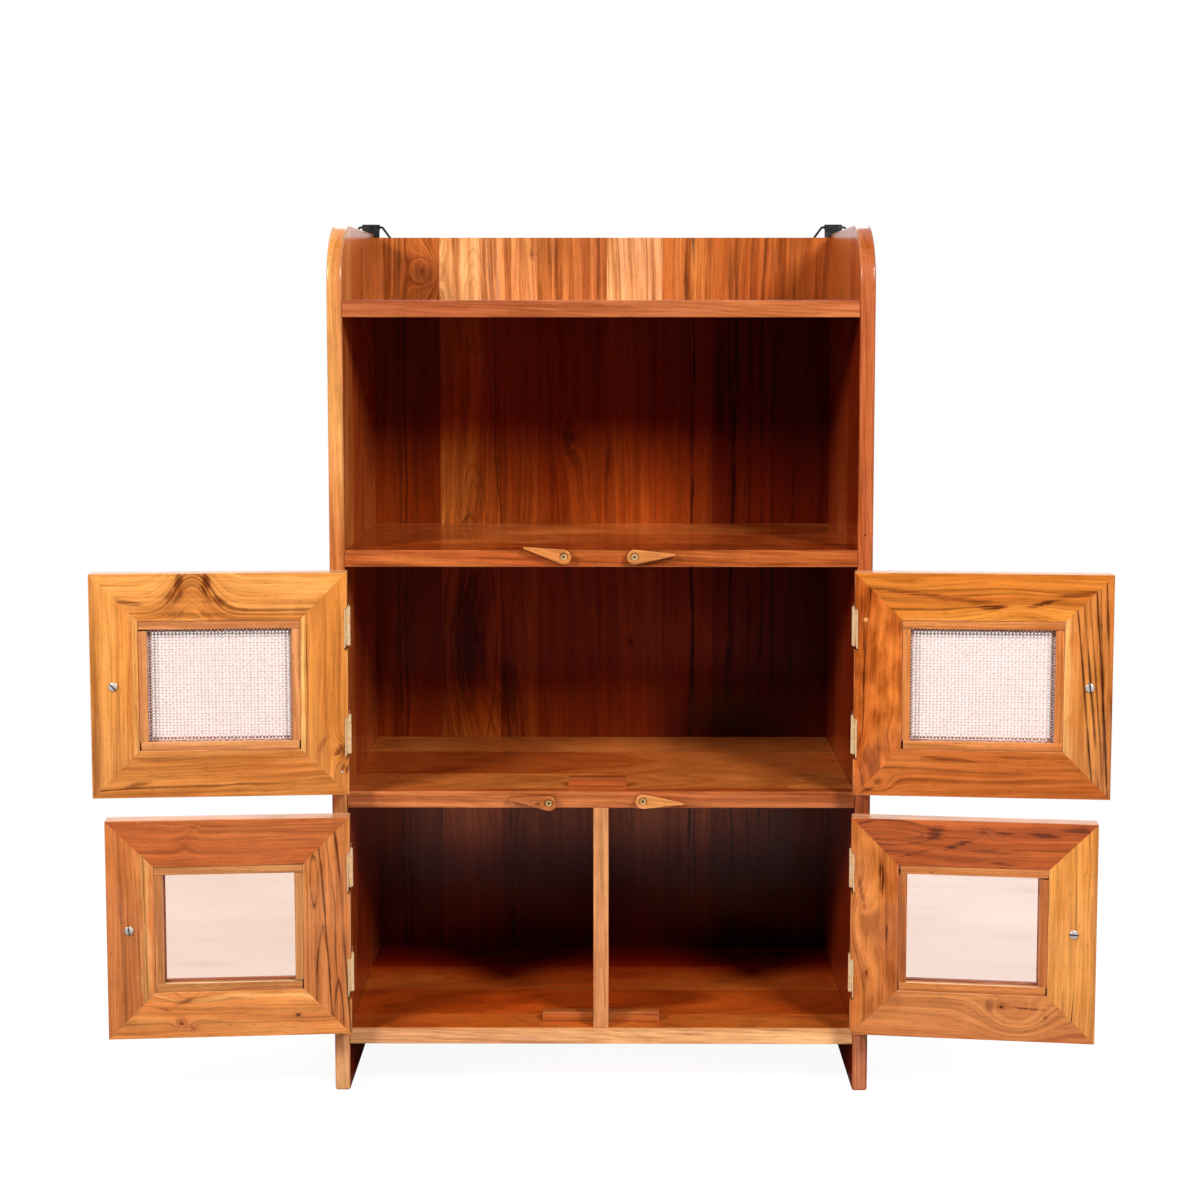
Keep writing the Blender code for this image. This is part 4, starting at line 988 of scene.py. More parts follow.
memberLooks = {
    "upper_left": {
        "topRail": {
            "pale": (246, 164, 82), "mid": (236, 146, 66), "ringGap": 0.0075, "ringDepth": 0.20,
            "redShare": 0.22, "wander": 0.005, "streaks": 0.15,
            "knots": ((0.170, 0.004, 0.030, 0.050, 0.040, 0.0),), "heart": (0.14, 0.0),
            "flames": ((0.1845, 0.012, 0.0060, 0.018, 0.80, 0.0), (0.1550, 0.012, 0.0065, 0.017, 0.85, 0.0),
                       (0.1935, 0.026, 0.012, 0.008, 0.55, 0.0), (0.1420, 0.031, 0.012, 0.006, 0.60, 0.4),
                       (0.2400, 0.032, 0.022, 0.005, 0.60, 0.2), (0.1700, 0.046, 0.05, 0.006, 0.4, 0.0)),
            "darkLines": ((0.0400, 0.0020, 0.60, 0.0), (0.0450, 0.0009, 0.45, 0.0),
                          (0.0490, 0.0008, 0.40, 0.0), (0.0525, 0.0007, 0.35, 0.0),
                          (0.0330, 0.0009, 0.25, 0.0)),
        },
        "bottomRail": {
            "pale": (238, 158, 80), "mid": (220, 134, 62), "ringDepth": 0.36, "redShare": 0.35,
            "streaks": 0.4, "wander": 0.012, "heart": (0.12, 0.0), "tone": -0.04,
            "paleLines": ((0.0505, 0.0016, 0.45, 0.0),),
            "flames": ((0.235, 0.014, 0.020, 0.005, 0.5, 0.3), (0.20, 0.044, 0.05, 0.004, 0.35, 0.0)),
            "darkLines": ((0.012, 0.0012, 0.60, 0.01),),
        },
        "freeStile": {
            "pale": (240, 158, 78), "mid": (228, 140, 62), "ringGap": 0.0045, "ringDepth": 0.30,
            "redShare": 0.16, "streaks": 0.1, "heart": (0.14, 0.0),
            "paleLines": ((0.0495, 0.0030, 0.5, 0.0),), "darkLines": ((0.004, 0.004, 0.22, 0.0),),
        },
        "hingeStile": {
            "pale": (243, 160, 78), "mid": (230, 142, 60), "ringGap": 0.006, "ringDepth": 0.20,
            "redShare": 0.25, "streaks": 0.15, "heart": (0.14, 0.0),
            "paleLines": ((0.0490, 0.0022, 0.9, 0.0),), "darkLines": ((0.0448, 0.0005, 0.8, 0.0),),
            "knots": ((0.050, 0.006, 0.016, 0.010, 0.012, 0.0),),
            "flames": ((0.050, 0.009, 0.010, 0.010, 0.75, 0.3), (0.030, 0.004, 0.006, 0.005, 0.7, 0.0),
                       (0.060, 0.028, 0.012, 0.004, 0.35, 0.5)),
        },
    },
    "upper_right": {
        "topRail": {
            "pale": (240, 152, 60), "mid": (220, 122, 40), "ringGap": 0.0046, "ringDepth": 0.55,
            "wander": 0.010, "redShare": 0.3, "streaks": 0.6,
            "knots": ((0.180, 0.046, 0.040, 0.014, 0.012, 0.0), (0.060, 0.012, 0.040, 0.006, -0.006, 0.0)),
            "heart": (0.10, 0.0),
            "flames": ((0.150, 0.037, 0.022, 0.0045, 0.95, 0.0), (0.205, 0.033, 0.026, 0.0032, 0.85, 0.25),
                       (0.245, 0.022, 0.028, 0.004, 0.6, 0.1), (0.060, 0.022, 0.050, 0.0035, 0.6, -0.1),
                       (0.120, 0.030, 0.05, 0.003, 0.6, -0.05)),
            "darkLines": ((0.0290, 0.0010, 0.5, 0.02), (0.0400, 0.0008, 0.5, 0.0),
                          (0.0180, 0.0008, 0.4, -0.02)),
        },
        "bottomRail": {
            "pale": (224, 134, 64), "mid": (204, 110, 48), "ringGap": 0.0065, "ringDepth": 0.48,
            "redShare": 0.40, "wander": 0.012, "heart": (0.12, 0.0), "tone": -0.02,
            "knots": ((0.026, 0.012, 0.020, 0.013, 0.020, 0.0),),
            "flames": ((0.088, 0.044, 0.022, 0.0026, 0.5, 0.12), (0.118, 0.042, 0.030, 0.0024, 0.45, 0.10),
                       (0.178, 0.046, 0.030, 0.0020, 0.35, 0.0), (0.015, 0.006, 0.012, 0.003, 0.6, -0.4)),
            "darkLines": ((0.034, 0.0012, 0.45, 0.02), (0.022, 0.0010, 0.40, 0.0)),
        },
        "freeStile": {
            "pale": (224, 142, 68), "mid": (200, 112, 48), "ringGap": 0.0085, "ringDepth": 0.34,
            "redShare": 0.35, "wander": 0.004, "streaks": 0.3, "heart": (0.14, 0.0),
            "paleLines": ((0.050, 0.004, 0.5, 0.0),),
            "darkLines": ((0.0190, 0.0009, 1.0, -0.10), (0.0120, 0.0011, 1.0, -0.10),
                          (0.0075, 0.0008, 0.8, -0.09), (0.0030, 0.0013, 1.0, -0.075),
                          (-0.0030, 0.0012, 1.0, -0.055), (0.0070, 0.0010, 0.7, -0.04)),
        },
        "hingeStile": {
            "pale": (210, 112, 42), "mid": (190, 90, 32), "ringGap": 0.009, "ringDepth": 0.36,
            "wander": 0.014, "redShare": 0.5, "mottle": 0.55, "heart": (0.12, 0.0),
            "darkLines": ((0.0130, 0.0011, 0.95, -0.01),),
            "knots": ((0.045, 0.012, 0.016, 0.010, 0.010, 0.0), (0.070, 0.030, 0.02, 0.02, 0.005, 0.0)),
            "flames": ((0.190, 0.010, 0.05, 0.0025, 0.5, 0.06), (0.040, 0.018, 0.03, 0.012, 0.35, 0.4)),
        },
    },
    "lower_left": {
        "topRail": {
            "pale": (216, 119, 56), "mid": (201, 100, 42), "red": (180, 78, 30), "ringGap": 0.006,
            "ringDepth": 0.26, "redShare": 0.5, "streaks": 0.25, "heart": (0.12, 0.0),
            "darkLines": ((0.050, 0.0008, 0.7, 0.0), (0.0065, 0.0009, 0.35, 0.0)), "lime": 0.25,
            "knots": ((0.176, 0.012, 0.007, 0.006, 0.006, 0.25), (0.182, 0.030, 0.010, 0.012, 0.006, 0.15)),
        },
        "bottomRail": {
            "pale": (242, 157, 81), "mid": (226, 133, 62), "ringGap": 0.0056, "ringDepth": 0.50,
            "wander": 0.014, "redShare": 0.28, "heart": (0.12, 0.0),
            "paleLines": ((0.0500, 0.0024, 0.55, 0.0),),
            "knots": ((0.190, 0.016, 0.009, 0.007, 0.010, 0.6), (0.177, 0.010, 0.006, 0.004, 0.004, 0.5),
                      (0.060, 0.023, 0.0045, 0.003, 0.003, 0.9), (0.180, 0.046, 0.030, 0.010, 0.012, 0.0)),
            "flames": ((0.185, 0.042, 0.014, 0.0030, 0.6, 0.3), (0.205, 0.032, 0.010, 0.003, 0.5, -0.3)),
            "darkLines": ((0.020, 0.0010, 0.45, 0.0),),
        },
        "freeStile": {
            "pale": (229, 143, 80), "mid": (213, 121, 61), "dark": (104, 38, 14), "ringGap": 0.0062,
            "ringDepth": 0.40, "redShare": 0.40, "heart": (0.14, 0.0),
            "paleLines": ((0.045, 0.005, 0.50, 0.0),),
            "darkLines": ((0.022, 0.0035, 0.40, 0.02), (0.0290, 0.0010, 0.6, 0.02),
                          (0.0400, 0.0008, 0.6, 0.03), (0.0480, 0.0008, 0.6, 0.02)),
        },
        "hingeStile": {
            "pale": (222, 138, 76), "mid": (206, 116, 60), "ringGap": 0.0098, "ringDepth": 0.30,
            "wander": 0.007, "redShare": 0.30, "heart": (0.16, 0.0),
            "loops": ((0.178, 0.0400, 0.029, 0.0042, 0.0009, 0.9),
                      (0.035, 0.0310, 0.088, 0.0082, 0.0009, 0.9),
                      (0.000, 0.0140, 0.061, 0.0056, 0.0009, 0.8)),
            "knots": ((0.150, 0.020, 0.034, 0.006, 0.003, 0.0),),
            "darkLines": ((0.0191, 0.0009, 0.85, -0.0675), (-0.0007, 0.0013, 0.90, -0.074),
                          (0.0100, 0.0008, 0.60, -0.07), (0.0470, 0.0005, 0.5, 0.0)),
        },
    },
    "lower_right": {
        "topRail": {
            "pale": (200, 98, 38), "mid": (176, 74, 26), "ringGap": 0.0065, "ringDepth": 0.50,
            "wander": 0.014, "redShare": 0.42, "streaks": 0.7, "heart": (0.12, 0.0),
            "knots": ((0.030, 0.020, 0.060, 0.026, 0.010, 0.0), (0.145, 0.014, 0.010, 0.006, 0.010, 0.5)),
            "loops": ((0.045, 0.0160, 0.050, 0.0135, 0.0012, 0.70),
                      (0.040, 0.0165, 0.040, 0.0080, 0.0008, 0.35)),
            "flames": ((0.093, 0.014, 0.012, 0.009, 0.65, 0.2), (0.213, 0.014, 0.022, 0.0034, 0.85, -0.1),
                       (0.168, 0.013, 0.018, 0.0026, 0.7, 0.0), (0.118, 0.027, 0.022, 0.0040, 0.85, 0.35),
                       (0.075, 0.037, 0.030, 0.0026, 0.6, 0.3), (0.166, 0.048, 0.020, 0.0034, 0.8, 0.0),
                       (0.250, 0.008, 0.020, 0.006, 0.7, 0.0), (0.160, 0.034, 0.04, 0.004, 0.5, 0.0)),
        },
        "bottomRail": {
            "pale": (214, 135, 71), "mid": (196, 113, 57), "ringGap": 0.0075, "ringDepth": 0.40,
            "redShare": 0.22, "streaks": 0.15, "heart": (0.12, 0.0),
            "knots": ((0.185, 0.024, 0.040, 0.026, 0.034, 0.0), (0.168, 0.038, 0.0065, 0.0050, 0.004, 0.95),
                      (0.217, 0.028, 0.0035, 0.0026, 0.0, 0.7)),
            "flames": ((0.197, 0.038, 0.022, 0.0016, 0.75, 0.05), (0.155, 0.040, 0.006, 0.010, 0.5, 0.0)),
            "darkLines": ((0.0455, 0.0009, 0.5, 0.0),),
        },
        "freeStile": {
            "pale": (238, 160, 80), "mid": (226, 144, 66), "ringGap": 0.007, "ringDepth": 0.14,
            "redShare": 0.15, "streaks": 0.05, "heart": (0.14, 0.0),
            "darkLines": ((0.0265, 0.0005, 1.0, 0.0), (0.004, 0.003, 0.25, 0.0)),
        },
        "hingeStile": {
            "pale": (222, 134, 64), "mid": (200, 108, 48), "ringGap": 0.0075, "ringDepth": 0.48,
            "wander": 0.022, "redShare": 0.35, "streaks": 0.4, "mottle": 0.30, "heart": (0.12, 0.0),
            "knots": ((0.130, 0.012, 0.040, 0.018, 0.020, 0.0), (0.072, 0.020, 0.010, 0.004, 0.006, 0.7)),
            "flames": ((0.184, 0.034, 0.026, 0.0034, 1.0, 0.03), (0.120, 0.040, 0.012, 0.0024, 0.9, 0.0),
                       (0.165, 0.012, 0.02, 0.003, 0.5, 0.2)),
        },
    },
}
doorNames = list(memberLooks)
hinge = {
    "height": 0.044, "fromTop": 0.0635, "fromBottom": 0.0645, "knuckles": 5, "radius": 0.003, "gap": 0.0004,
    "leaf": 0.0222, "thick": 0.0012, "pin": 0.00125, "pinHead": 0.0016, "clear": 0.0005, "overrun": 0.0025,
    "screwRadius": 0.0026, "screwRows": (0.16, 0.5, 0.84), "screwOut": (0.66, 0.52, 0.66),
    "screwSink": 0.00025, "screwDeep": 0.0008, "slotReach": 0.004, "slotHalf": 0.0004, "slotRise": 0.002,
    "slotTurns": (25, 72, 119), "endClear": 0.001, "rollSteps": 30, "screwSides": 24, "screwDome": (0.9, 0.7),
    "pinSides": 20,
    "pinTapers": ((0.0, 1.0), (0.8, 0.8), (1.0, 0.4)), "owned": {"case": (0, 2, 4), "door": (1, 3)},
}


def levelOf(name):
    return name.split("_")[0]


def doorFrame(name):
    joint = swings[f"{name}_door_swing"]
    side = 1 if name.endswith("left") else -1
    hung = Matrix.Translation(joint["pos_m"]) @ spun(side * joint["range_deg"][0], "Z")
    return side, hung, door["width"][levelOf(name)], door["height"][levelOf(name)]


def memberMatrix(part, side, hung, width, height):
    edge, face = door["edge"], door["face"]
    rows = {
        "topRail": ((side, 0, 0, side * edge), (0, 0, 1, face), (0, -1, 0, height)),
        "bottomRail": ((side, 0, 0, side * edge), (0, 0, 1, face), (0, 1, 0, 0)),
        "hingeStile": ((0, side, 0, side * edge), (0, 0, 1, face), (1, 0, 0, 0)),
        "freeStile": ((0, -side, 0, side * (edge + width)), (0, 0, 1, face), (1, 0, 0, 0)),
    }[part]
    return hung @ Matrix((*rows, (0, 0, 0, 1)))


def memberShape(length, lipExtra):
    stile, lip, thick, gap = door["stile"], door["lip"], door["thickness"], door["mitreGap"]
    sight = stile + door["bead"] + lipExtra
    profile = [(0.0, 0.0), (sight, 0.0), (sight, lip), (stile, lip), (stile, thick), (0.0, thick)]
    shape = bridge([(v + gap, v, w) for v, w in profile], [(length - v - gap, v, w) for v, w in profile])

    def runsAlong(e):
        here, there = e.verts[0].co.y, e.verts[1].co.y
        return abs(here - there) < hair and any(abs(here - rim) < hair for rim in (0.0, stile, sight))

    return ease(shape, door["arris"], 3, runsAlong)


def hingeCentres(height):
    return {"top": height - hinge["fromTop"], "bottom": hinge["fromBottom"]}


def hingeMortises(height):
    half = hinge["height"] / 2 + door["fit"]
    depth = hinge["radius"] - door["edge"]
    for centre in hingeCentres(height).values():
        corner = (centre - half - hinge["overrun"], *door["mortiseCut"])
        yield block(corner, (centre + half, depth, door["thickness"] + door["mortiseOver"]))


def boardOfMember(part, look, level, seed):
    def boardOf(face):
        tone, veil = look.get("tone", 0.0), 0.0
        # painted shade: the lip's faces, seen behind the glass and the wire, are darkened
        if face.center.y > door["stile"] + tiny and face.center.z > 10 * tiny:
            tone = door["lipTone"][level]
        # painted reflection: the top rail's upper face is painted paler
        if part == "topRail" and face.normal.y < -squareOn:
            veil = door["topVeil"]
        return tuple, look["heart"], tone, seed, veil

    return boardOf


for index, name in enumerate(doorNames):
    side, hung, width, height = doorFrame(name)
    level = levelOf(name)
    for number, (part, look) in enumerate(memberLooks[name].items()):
        length = width if part.endswith("Rail") else height
        title = camel(name) + part[0].upper() + part[1:]
        lipExtra = door["lipExtra"][level] + (door["topLip"][level] if part == "topRail" else 0.0)
        member = bareObject(title, memberShape(length, lipExtra))
        if part == "hingeStile":
            carve(member, *hingeMortises(height))
        if part == "freeStile":
            hole, (below, above) = door["screwHole"], door["holeCut"]
            bore = lathe([(0.0, below), (hole, below), (hole, above), (0.0, above)], door["holeSides"])
            carve(member, turn(bore, Matrix.Translation((height / 2, door["knobInset"], 0.0))))
        layGrain(member, boardOfMember(part, look, level, seedOf(door["seeds"], index, number)))
        moveTo(member, memberMatrix(part, side, hung, width, height))
        settle(member, teakFinish(title + "Teak", look), f"{name}_door", "teak", f"{name}_door_frame")
print("door frames made")


# Glazing beads: top and bottom strips run through, side strips stand between them, and a few ends fall short
bead = {
    "arris": 0.0006, "arrisVeil": 0.06, "easeAbove": 0.012, "fit": 0.00015, "close": 0.0001,
    "heart": (0.08, 0.04), "seeds": (300.0, 50, 11),
    # on the lower doors the beads' faces towards the opening are painted lighter, painted light in place of
    # what comes through the glass
    "sideTone": 0.04, "innerTone": {"upper": 0.0, "lower": 0.20}, "innerVeil": {"upper": 0.0, "lower": 0.5},
    "thickUnder": {"upper": 0.0020, "lower": 0.003},
    "looks": {
        "upper_left": {"pale": (232, 158, 98), "mid": (216, 136, 82)},
        "upper_right": {"pale": (226, 142, 78), "mid": (210, 120, 60)},
        "lower_left": {"pale": (214, 146, 84), "mid": (201, 131, 73)},
        "lower_right": {"pale": (208, 126, 66), "mid": (192, 106, 50)},
    },
    "short": {
        "upper_left": {"bottomRail": (0.0013, 0.0013), "freeStile": (0.0, 0.0013)},
        "upper_right": {"bottomRail": (0.0018, 0.0)},
        "lower_left": {"bottomRail": (0.0014, 0.0), "hingeStile": (0.0012, 0.0)},
        "lower_right": {"topRail": (0.0016, 0.0), "freeStile": (0.0, 0.0014), "bottomRail": (0.0012, 0.0014)},
    },
    "labels": {"topRail": "TopBead", "bottomRail": "BottomBead", "hingeStile": "HingeBead",
               "freeStile": "FreeBead"},
}
beadLook = {"red": (184, 96, 46), "ringGap": 0.004, "ringDepth": 0.3, "redShare": 0.35}


def boardOfBead(number, level, seed):
    def boardOf(face):
        # faces towards the opening get painted light on the lower doors
        inner = face.normal.y > squareOn
        tone = bead["innerTone"][level] if inner else bead["sideTone"] * (number % 2)
        return tuple, bead["heart"], tone, seed, bead["innerVeil"][level] if inner else 0.0

    return boardOf


for index, name in enumerate(doorNames):
    side, hung, width, height = doorFrame(name)
    stile, wide = door["stile"] + bead["fit"], door["bead"] - bead["fit"]
    level = levelOf(name)
    low = door["lip"] + 2 * door["fit"] + bead["thickUnder"][level]
    top = door["thickness"] - door["beadSetback"]
    beadFinish = teakFinish(camel(name) + "BeadTeak", {**beadLook, **bead["looks"][name]})
    for number, (part, label) in enumerate(bead["labels"].items()):
        through = part.endswith("Rail")
        length = width if through else height
        shortLow, shortHigh = bead["short"][name].get(part, (0.0, 0.0))
        inset = stile + bead["close"] + (0.0 if through else wide)
        strip = block((inset + shortLow, stile, low), (length - inset - shortHigh, stile + wide, top))
        ease(strip, bead["arris"], 2, lambda e: all(v.co.z > bead["easeAbove"] for v in e.verts))
        piece = bareObject(camel(name) + label, strip)
        layGrain(piece, boardOfBead(number, level, seedOf(bead["seeds"], index, number)), bead["arrisVeil"])
        moveTo(piece, memberMatrix(part, side, hung, width, height))
        settle(piece, beadFinish, f"{name}_door", "teak", f"{name}_door_bead")
print("beads made")


# Two nail heads and a wooden plug: height, distance from the edge, radius
pin = {
    "rise": 0.0003, "sink": 0.0012, "doorNail": ("upper_left", 0.026, 0.0077, 0.0013),
    "doorPlug": ("upper_right", 0.198, 0.0125, 0.0026), "sideNail": (0.641, 0.0095, 0.0014),
    "dome": (0.7, 0.4), "sides": 24, "plugHeart": (0.02, 0.01), "plugTone": 0.10, "plugSeed": 77.0,
}


def pinHead(label, radius):
    (wide, up), low, high = pin["dome"], -pin["sink"], pin["rise"]
    profile = [(0.0, low), (radius, low), (radius, up * high), (wide * radius, high), (0.0, high)]
    return bareObject(label, lathe(profile, pin["sides"]))


for label in ("doorNail", "doorPlug"):
    name, along, across, radius = pin[label]
    head = pinHead(label, radius)
    look = (steelFinish, f"{name}_door", "steel")
    if label == "doorPlug":
        layGrain(head, plainBoard((2, 0, 1), pin["plugHeart"], pin["plugTone"], pin["plugSeed"]))
        look = (buttonFinish, f"{name}_door", "teak")
    inStile = Matrix.Translation((along, across, door["thickness"]))
    moveTo(head, memberMatrix("hingeStile", *doorFrame(name)) @ inStile)
    settle(head, *look, sharp=40)
rise, inward, radius = pin["sideNail"]
low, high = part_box("right_side_panel")
head = pinHead("sideNail", radius)
moveTo(head, Matrix.Translation((high.x - inward, low.y + pin["rise"], rise)) @ toFront)
settle(head, steelFinish, "carcass", "steel", sharp=40)
print("nails and plug set")


# Panes of the lower doors: clear and filmed colours
pane = {
    "thickness": 0.003, "arris": 0.0003,
    "tints": {
        "lower_left": ((243, 215, 199), (234, 200, 184)), "lower_right": ((247, 222, 211), (238, 208, 196)),
    },
}
for name, tints in pane["tints"].items():
    side, hung, width, height = doorFrame(name)
    inset = door["stile"] + door["fit"]
    seat = door["face"] + door["lip"] + door["fit"]
    low = (side * (door["edge"] + inset), seat, inset)
    high = (side * (door["edge"] + width - inset), seat + pane["thickness"], height - inset)
    glass = bareObject(camel(name) + "Pane", turn(ease(block(low, high), pane["arris"], 1), hung))
    finish = paneFinish(camel(name) + "Pane", *tints)
    settle(glass, finish, f"{name}_door", "glass", f"{name}_door_glass", sharp=30)
print("panes made")


# Woven wire of the upper doors: crimped wires, over one and under the next
weave = {
    "across": 0.0039, "down": 0.0033, "upright": 0.00104, "level": 0.00072, "flat": 0.4, "rise": 0.00041,
    "sides": 8, "perCrossing": 4, "edge": 0.0012, "slack": 0.00008, "uprightSway": (3.1, 0.9),
    "levelSway": (2.3, 0.7),
    "zigzag": 0.00085, "loosest": {"upper_left": 0.45, "upper_right": 0.9}, "looseReach": 0.32,
}


def crimpedWire(points, radius):
    shape = bmesh.new()
    rings = []
    angles = [2 * math.pi * k / weave["sides"] for k in range(weave["sides"])]
    for i, point in enumerate(points):
        ahead = points[min(i + 1, len(points) - 1)] - points[max(i - 1, 0)]
        facing = ahead.to_track_quat("Z", "Y")
        ring = []
        for angle in angles:
            around = facing @ Vector((radius * math.cos(angle), radius * math.sin(angle), 0.0))
            around.y *= weave["flat"]
            ring.append(shape.verts.new(point + around))
        rings.append(ring)
    return tube(shape, rings)


def alongWire(count):
    return [step / weave["perCrossing"] - 1 for step in range((count + 1) * weave["perCrossing"] + 1)]


def sway(kind, number, t):
    perWire, perStep = weave[kind]
    return weave["slack"] * math.sin(perWire * number + perStep * t)


def bulge(number, t):
    return weave["rise"] * math.cos(math.pi * (t + number))


for name, loosest in weave["loosest"].items():
    side, hung, width, height = doorFrame(name)
    inset = door["stile"] + door["fit"] + weave["edge"]
    centre = door["face"] + door["lip"] + door["fit"] + weave["upright"] * weave["flat"] + weave["rise"]
    spanU, spanZ = width - 2 * inset, height - 2 * inset
    columns, rows = int(spanU / weave["across"]), int(spanZ / weave["down"])
    startU = door["edge"] + inset + (spanU - (columns - 1) * weave["across"]) / 2
    startZ = inset + (spanZ - (rows - 1) * weave["down"]) / 2
    wires = []
    for i in range(columns):
        points = []
        for t in alongWire(rows):
            u = startU + i * weave["across"] + sway("uprightSway", i, t)
            points.append(Vector((side * u, centre + bulge(i, t), startZ + t * weave["down"])))
        wires.append(crimpedWire(points, weave["upright"]))
    for j in range(rows):
        points = []
        for t in alongWire(columns):
            loose = math.exp(-(((t / columns) - loosest) / weave["looseReach"]) ** 2)
            drift = sway("levelSway", j, t) + weave["zigzag"] * loose * math.cos(math.pi * t)
            u, z = startU + t * weave["across"], startZ + j * weave["down"] + drift
            points.append(Vector((side * u, centre - bulge(j, t), z)))
        wires.append(crimpedWire(points, weave["level"]))
    cloth = join(*wires)
    bmesh.ops.recalc_face_normals(cloth, faces=cloth.faces)
    net = bareObject(camel(name) + "Mesh", turn(cloth, hung))
    settle(net, wireFinish, f"{name}_door", "steel", f"{name}_door_mesh", sharp=60)
print("wire mesh woven")


# Butt hinges: a leaf rolled round the pin, screwed flat
def leafShape(way):
    outer = hinge["radius"] - door["fit"]
    inner = outer - hinge["thick"]
    meetsInner, meetsOuter = [math.degrees(math.acos(reach / hinge["radius"])) for reach in (inner, outer)]
    outline = [(outer, hinge["leaf"]), (inner, hinge["leaf"])]
    outline += arcPoints((0.0, 0.0), hinge["radius"], meetsInner, 360.0 + meetsOuter, hinge["rollSteps"])
    return prism([(way * u, v) for u, v in outline], lambda a, b, c: (a, b, c), 0.0, hinge["height"])


def knuckleGaps(owned):
    step, around = hinge["height"] / hinge["knuckles"], hinge["radius"] + hinge["clear"]
    for index in range(hinge["knuckles"]):
        if index in owned:
            continue
        low, high = index * step - hinge["gap"] / 2, (index + 1) * step + hinge["gap"] / 2
        low -= 0.0 if index else hinge["endClear"]
        high += 0.0 if index < hinge["knuckles"] - 1 else hinge["endClear"]
        yield block((-around, -around, low), (around, around, high))


def hingeScrews(way):
    radius, deep, sink = hinge["screwRadius"], hinge["screwDeep"], hinge["screwSink"]
    reach, half = hinge["slotReach"], hinge["slotHalf"]
    wide, high = hinge["screwDome"]
    profile = [(0.0, -deep), (radius, -deep), (radius, 0.0), (radius * wide, sink * high), (0.0, sink)]
    face = hinge["radius"] - door["fit"] - hinge["thick"]
    for row, out, angle in zip(hinge["screwRows"], hinge["screwOut"], hinge["slotTurns"]):
        head = bareObject("head", lathe(profile, hinge["screwSides"]))
        carve(head, turn(block((-reach, -half, -half), (reach, half, hinge["slotRise"])), spun(angle, "Z")))
        place = Matrix.Translation((way * face, hinge["leaf"] * out, hinge["height"] * row))
        held = shapeOf(moveTo(head, place @ spun(-90 * way, "Y")).data)
        bpy.data.objects.remove(head)
        yield held


def hingePin():
    radius, tip, height = hinge["pin"], hinge["pinHead"], hinge["height"]
    profile = [(radius * thin, -tip * out) for thin, out in hinge["pinTapers"]]
    profile += [(radius * thin, height + tip * out) for thin, out in reversed(hinge["pinTapers"])]
    return lathe(profile, hinge["pinSides"])


for name in doorNames:
    side, hung, width, height = doorFrame(name)
    line = Matrix.Translation(swings[f"{name}_door_swing"]["pos_m"])
    leaves = (("case", -side, line, "carcass"), ("door", side, hung, f"{name}_door"))
    for label, centre in hingeCentres(height).items():
        place = Matrix.Translation((0.0, 0.0, centre - hinge["height"] / 2))
        for kind, way, standing, body in leaves:
            node = f"{name}_{label}_hinge_{kind}_leaf"
            leaf = bareObject(camel(node), leafShape(way))
            carve(leaf, *knuckleGaps(hinge["owned"][kind]))
            pieces = [shapeOf(leaf.data), *hingeScrews(way)]
            if kind == "case":
                pieces.append(hingePin())
            solid = turn(join(*pieces), standing @ place)
            leaf.data.clear_geometry()
            solid.to_mesh(leaf.data)
            solid.free()
            settle(leaf, hingeFinish, body, "brass", node, sharp=32)
print("hinges made")


# Knobs on the outsides, and the slotted screws that hold them from the inside
knob = {
    "radius": 0.014, "length": 0.024, "neck": 0.0075, "sides": 48, "bore": 0.0027, "boreDepth": 0.013,
    "seat": 0.0003, "collar": ((0.0022, 0.0125), (0.0018, 0.05), (0.0004, 0.12), (0.0, 0.24), (0.0008, 0.36)),
    "heart": (0.03, 0.02),
    "swell": ((0.72, 0.43), (0.90, 0.51), (0.98, 0.60), (1.0, 0.69), (0.97, 0.78), (0.88, 0.87), (0.70, 0.94),
              (0.42, 0.985), (0.0, 1.0)),
    "screwHead": 0.005, "screwHeight": 0.0024, "screwShank": 0.0022, "screwReach": 0.0125,
    "crown": ((0.0, 0.0), (0.45, 0.00015), (0.80, 0.00055), (0.96, 0.0011), (1.0, 0.0017)),
    "slotWidth": 0.0016, "slotDepth": 0.0019, "slotReach": 0.01, "slotRise": 0.002, "screwSides": 40,
    "seeds": (410.0, 13),
    "slotTurn": {"upper_left": 48.0, "upper_right": 86.0, "lower_left": 80.0, "lower_right": 2.0},
}
knobFinish = teakFinish("knobTeak", {"ringGap": 0.004, "ringDepth": 0.5})
knobProfile = [(0.0, knob["boreDepth"]), (knob["bore"], knob["boreDepth"]), (knob["bore"], knob["seat"])]
knobProfile += [(knob["neck"] + out, up * knob["length"]) for out, up in knob["collar"]]
knobProfile += [(out * knob["radius"], up * knob["length"]) for out, up in knob["swell"]]
under = -door["thickness"] - door["fit"]
top = under - knob["screwHeight"]
knobScrew = [(out * knob["screwHead"], top + up) for out, up in knob["crown"]]
knobScrew += [(knob["screwHead"], under), (knob["screwShank"], under)]
knobScrew += [(knob["screwShank"], knob["screwReach"]), (0.0, knob["screwReach"])]
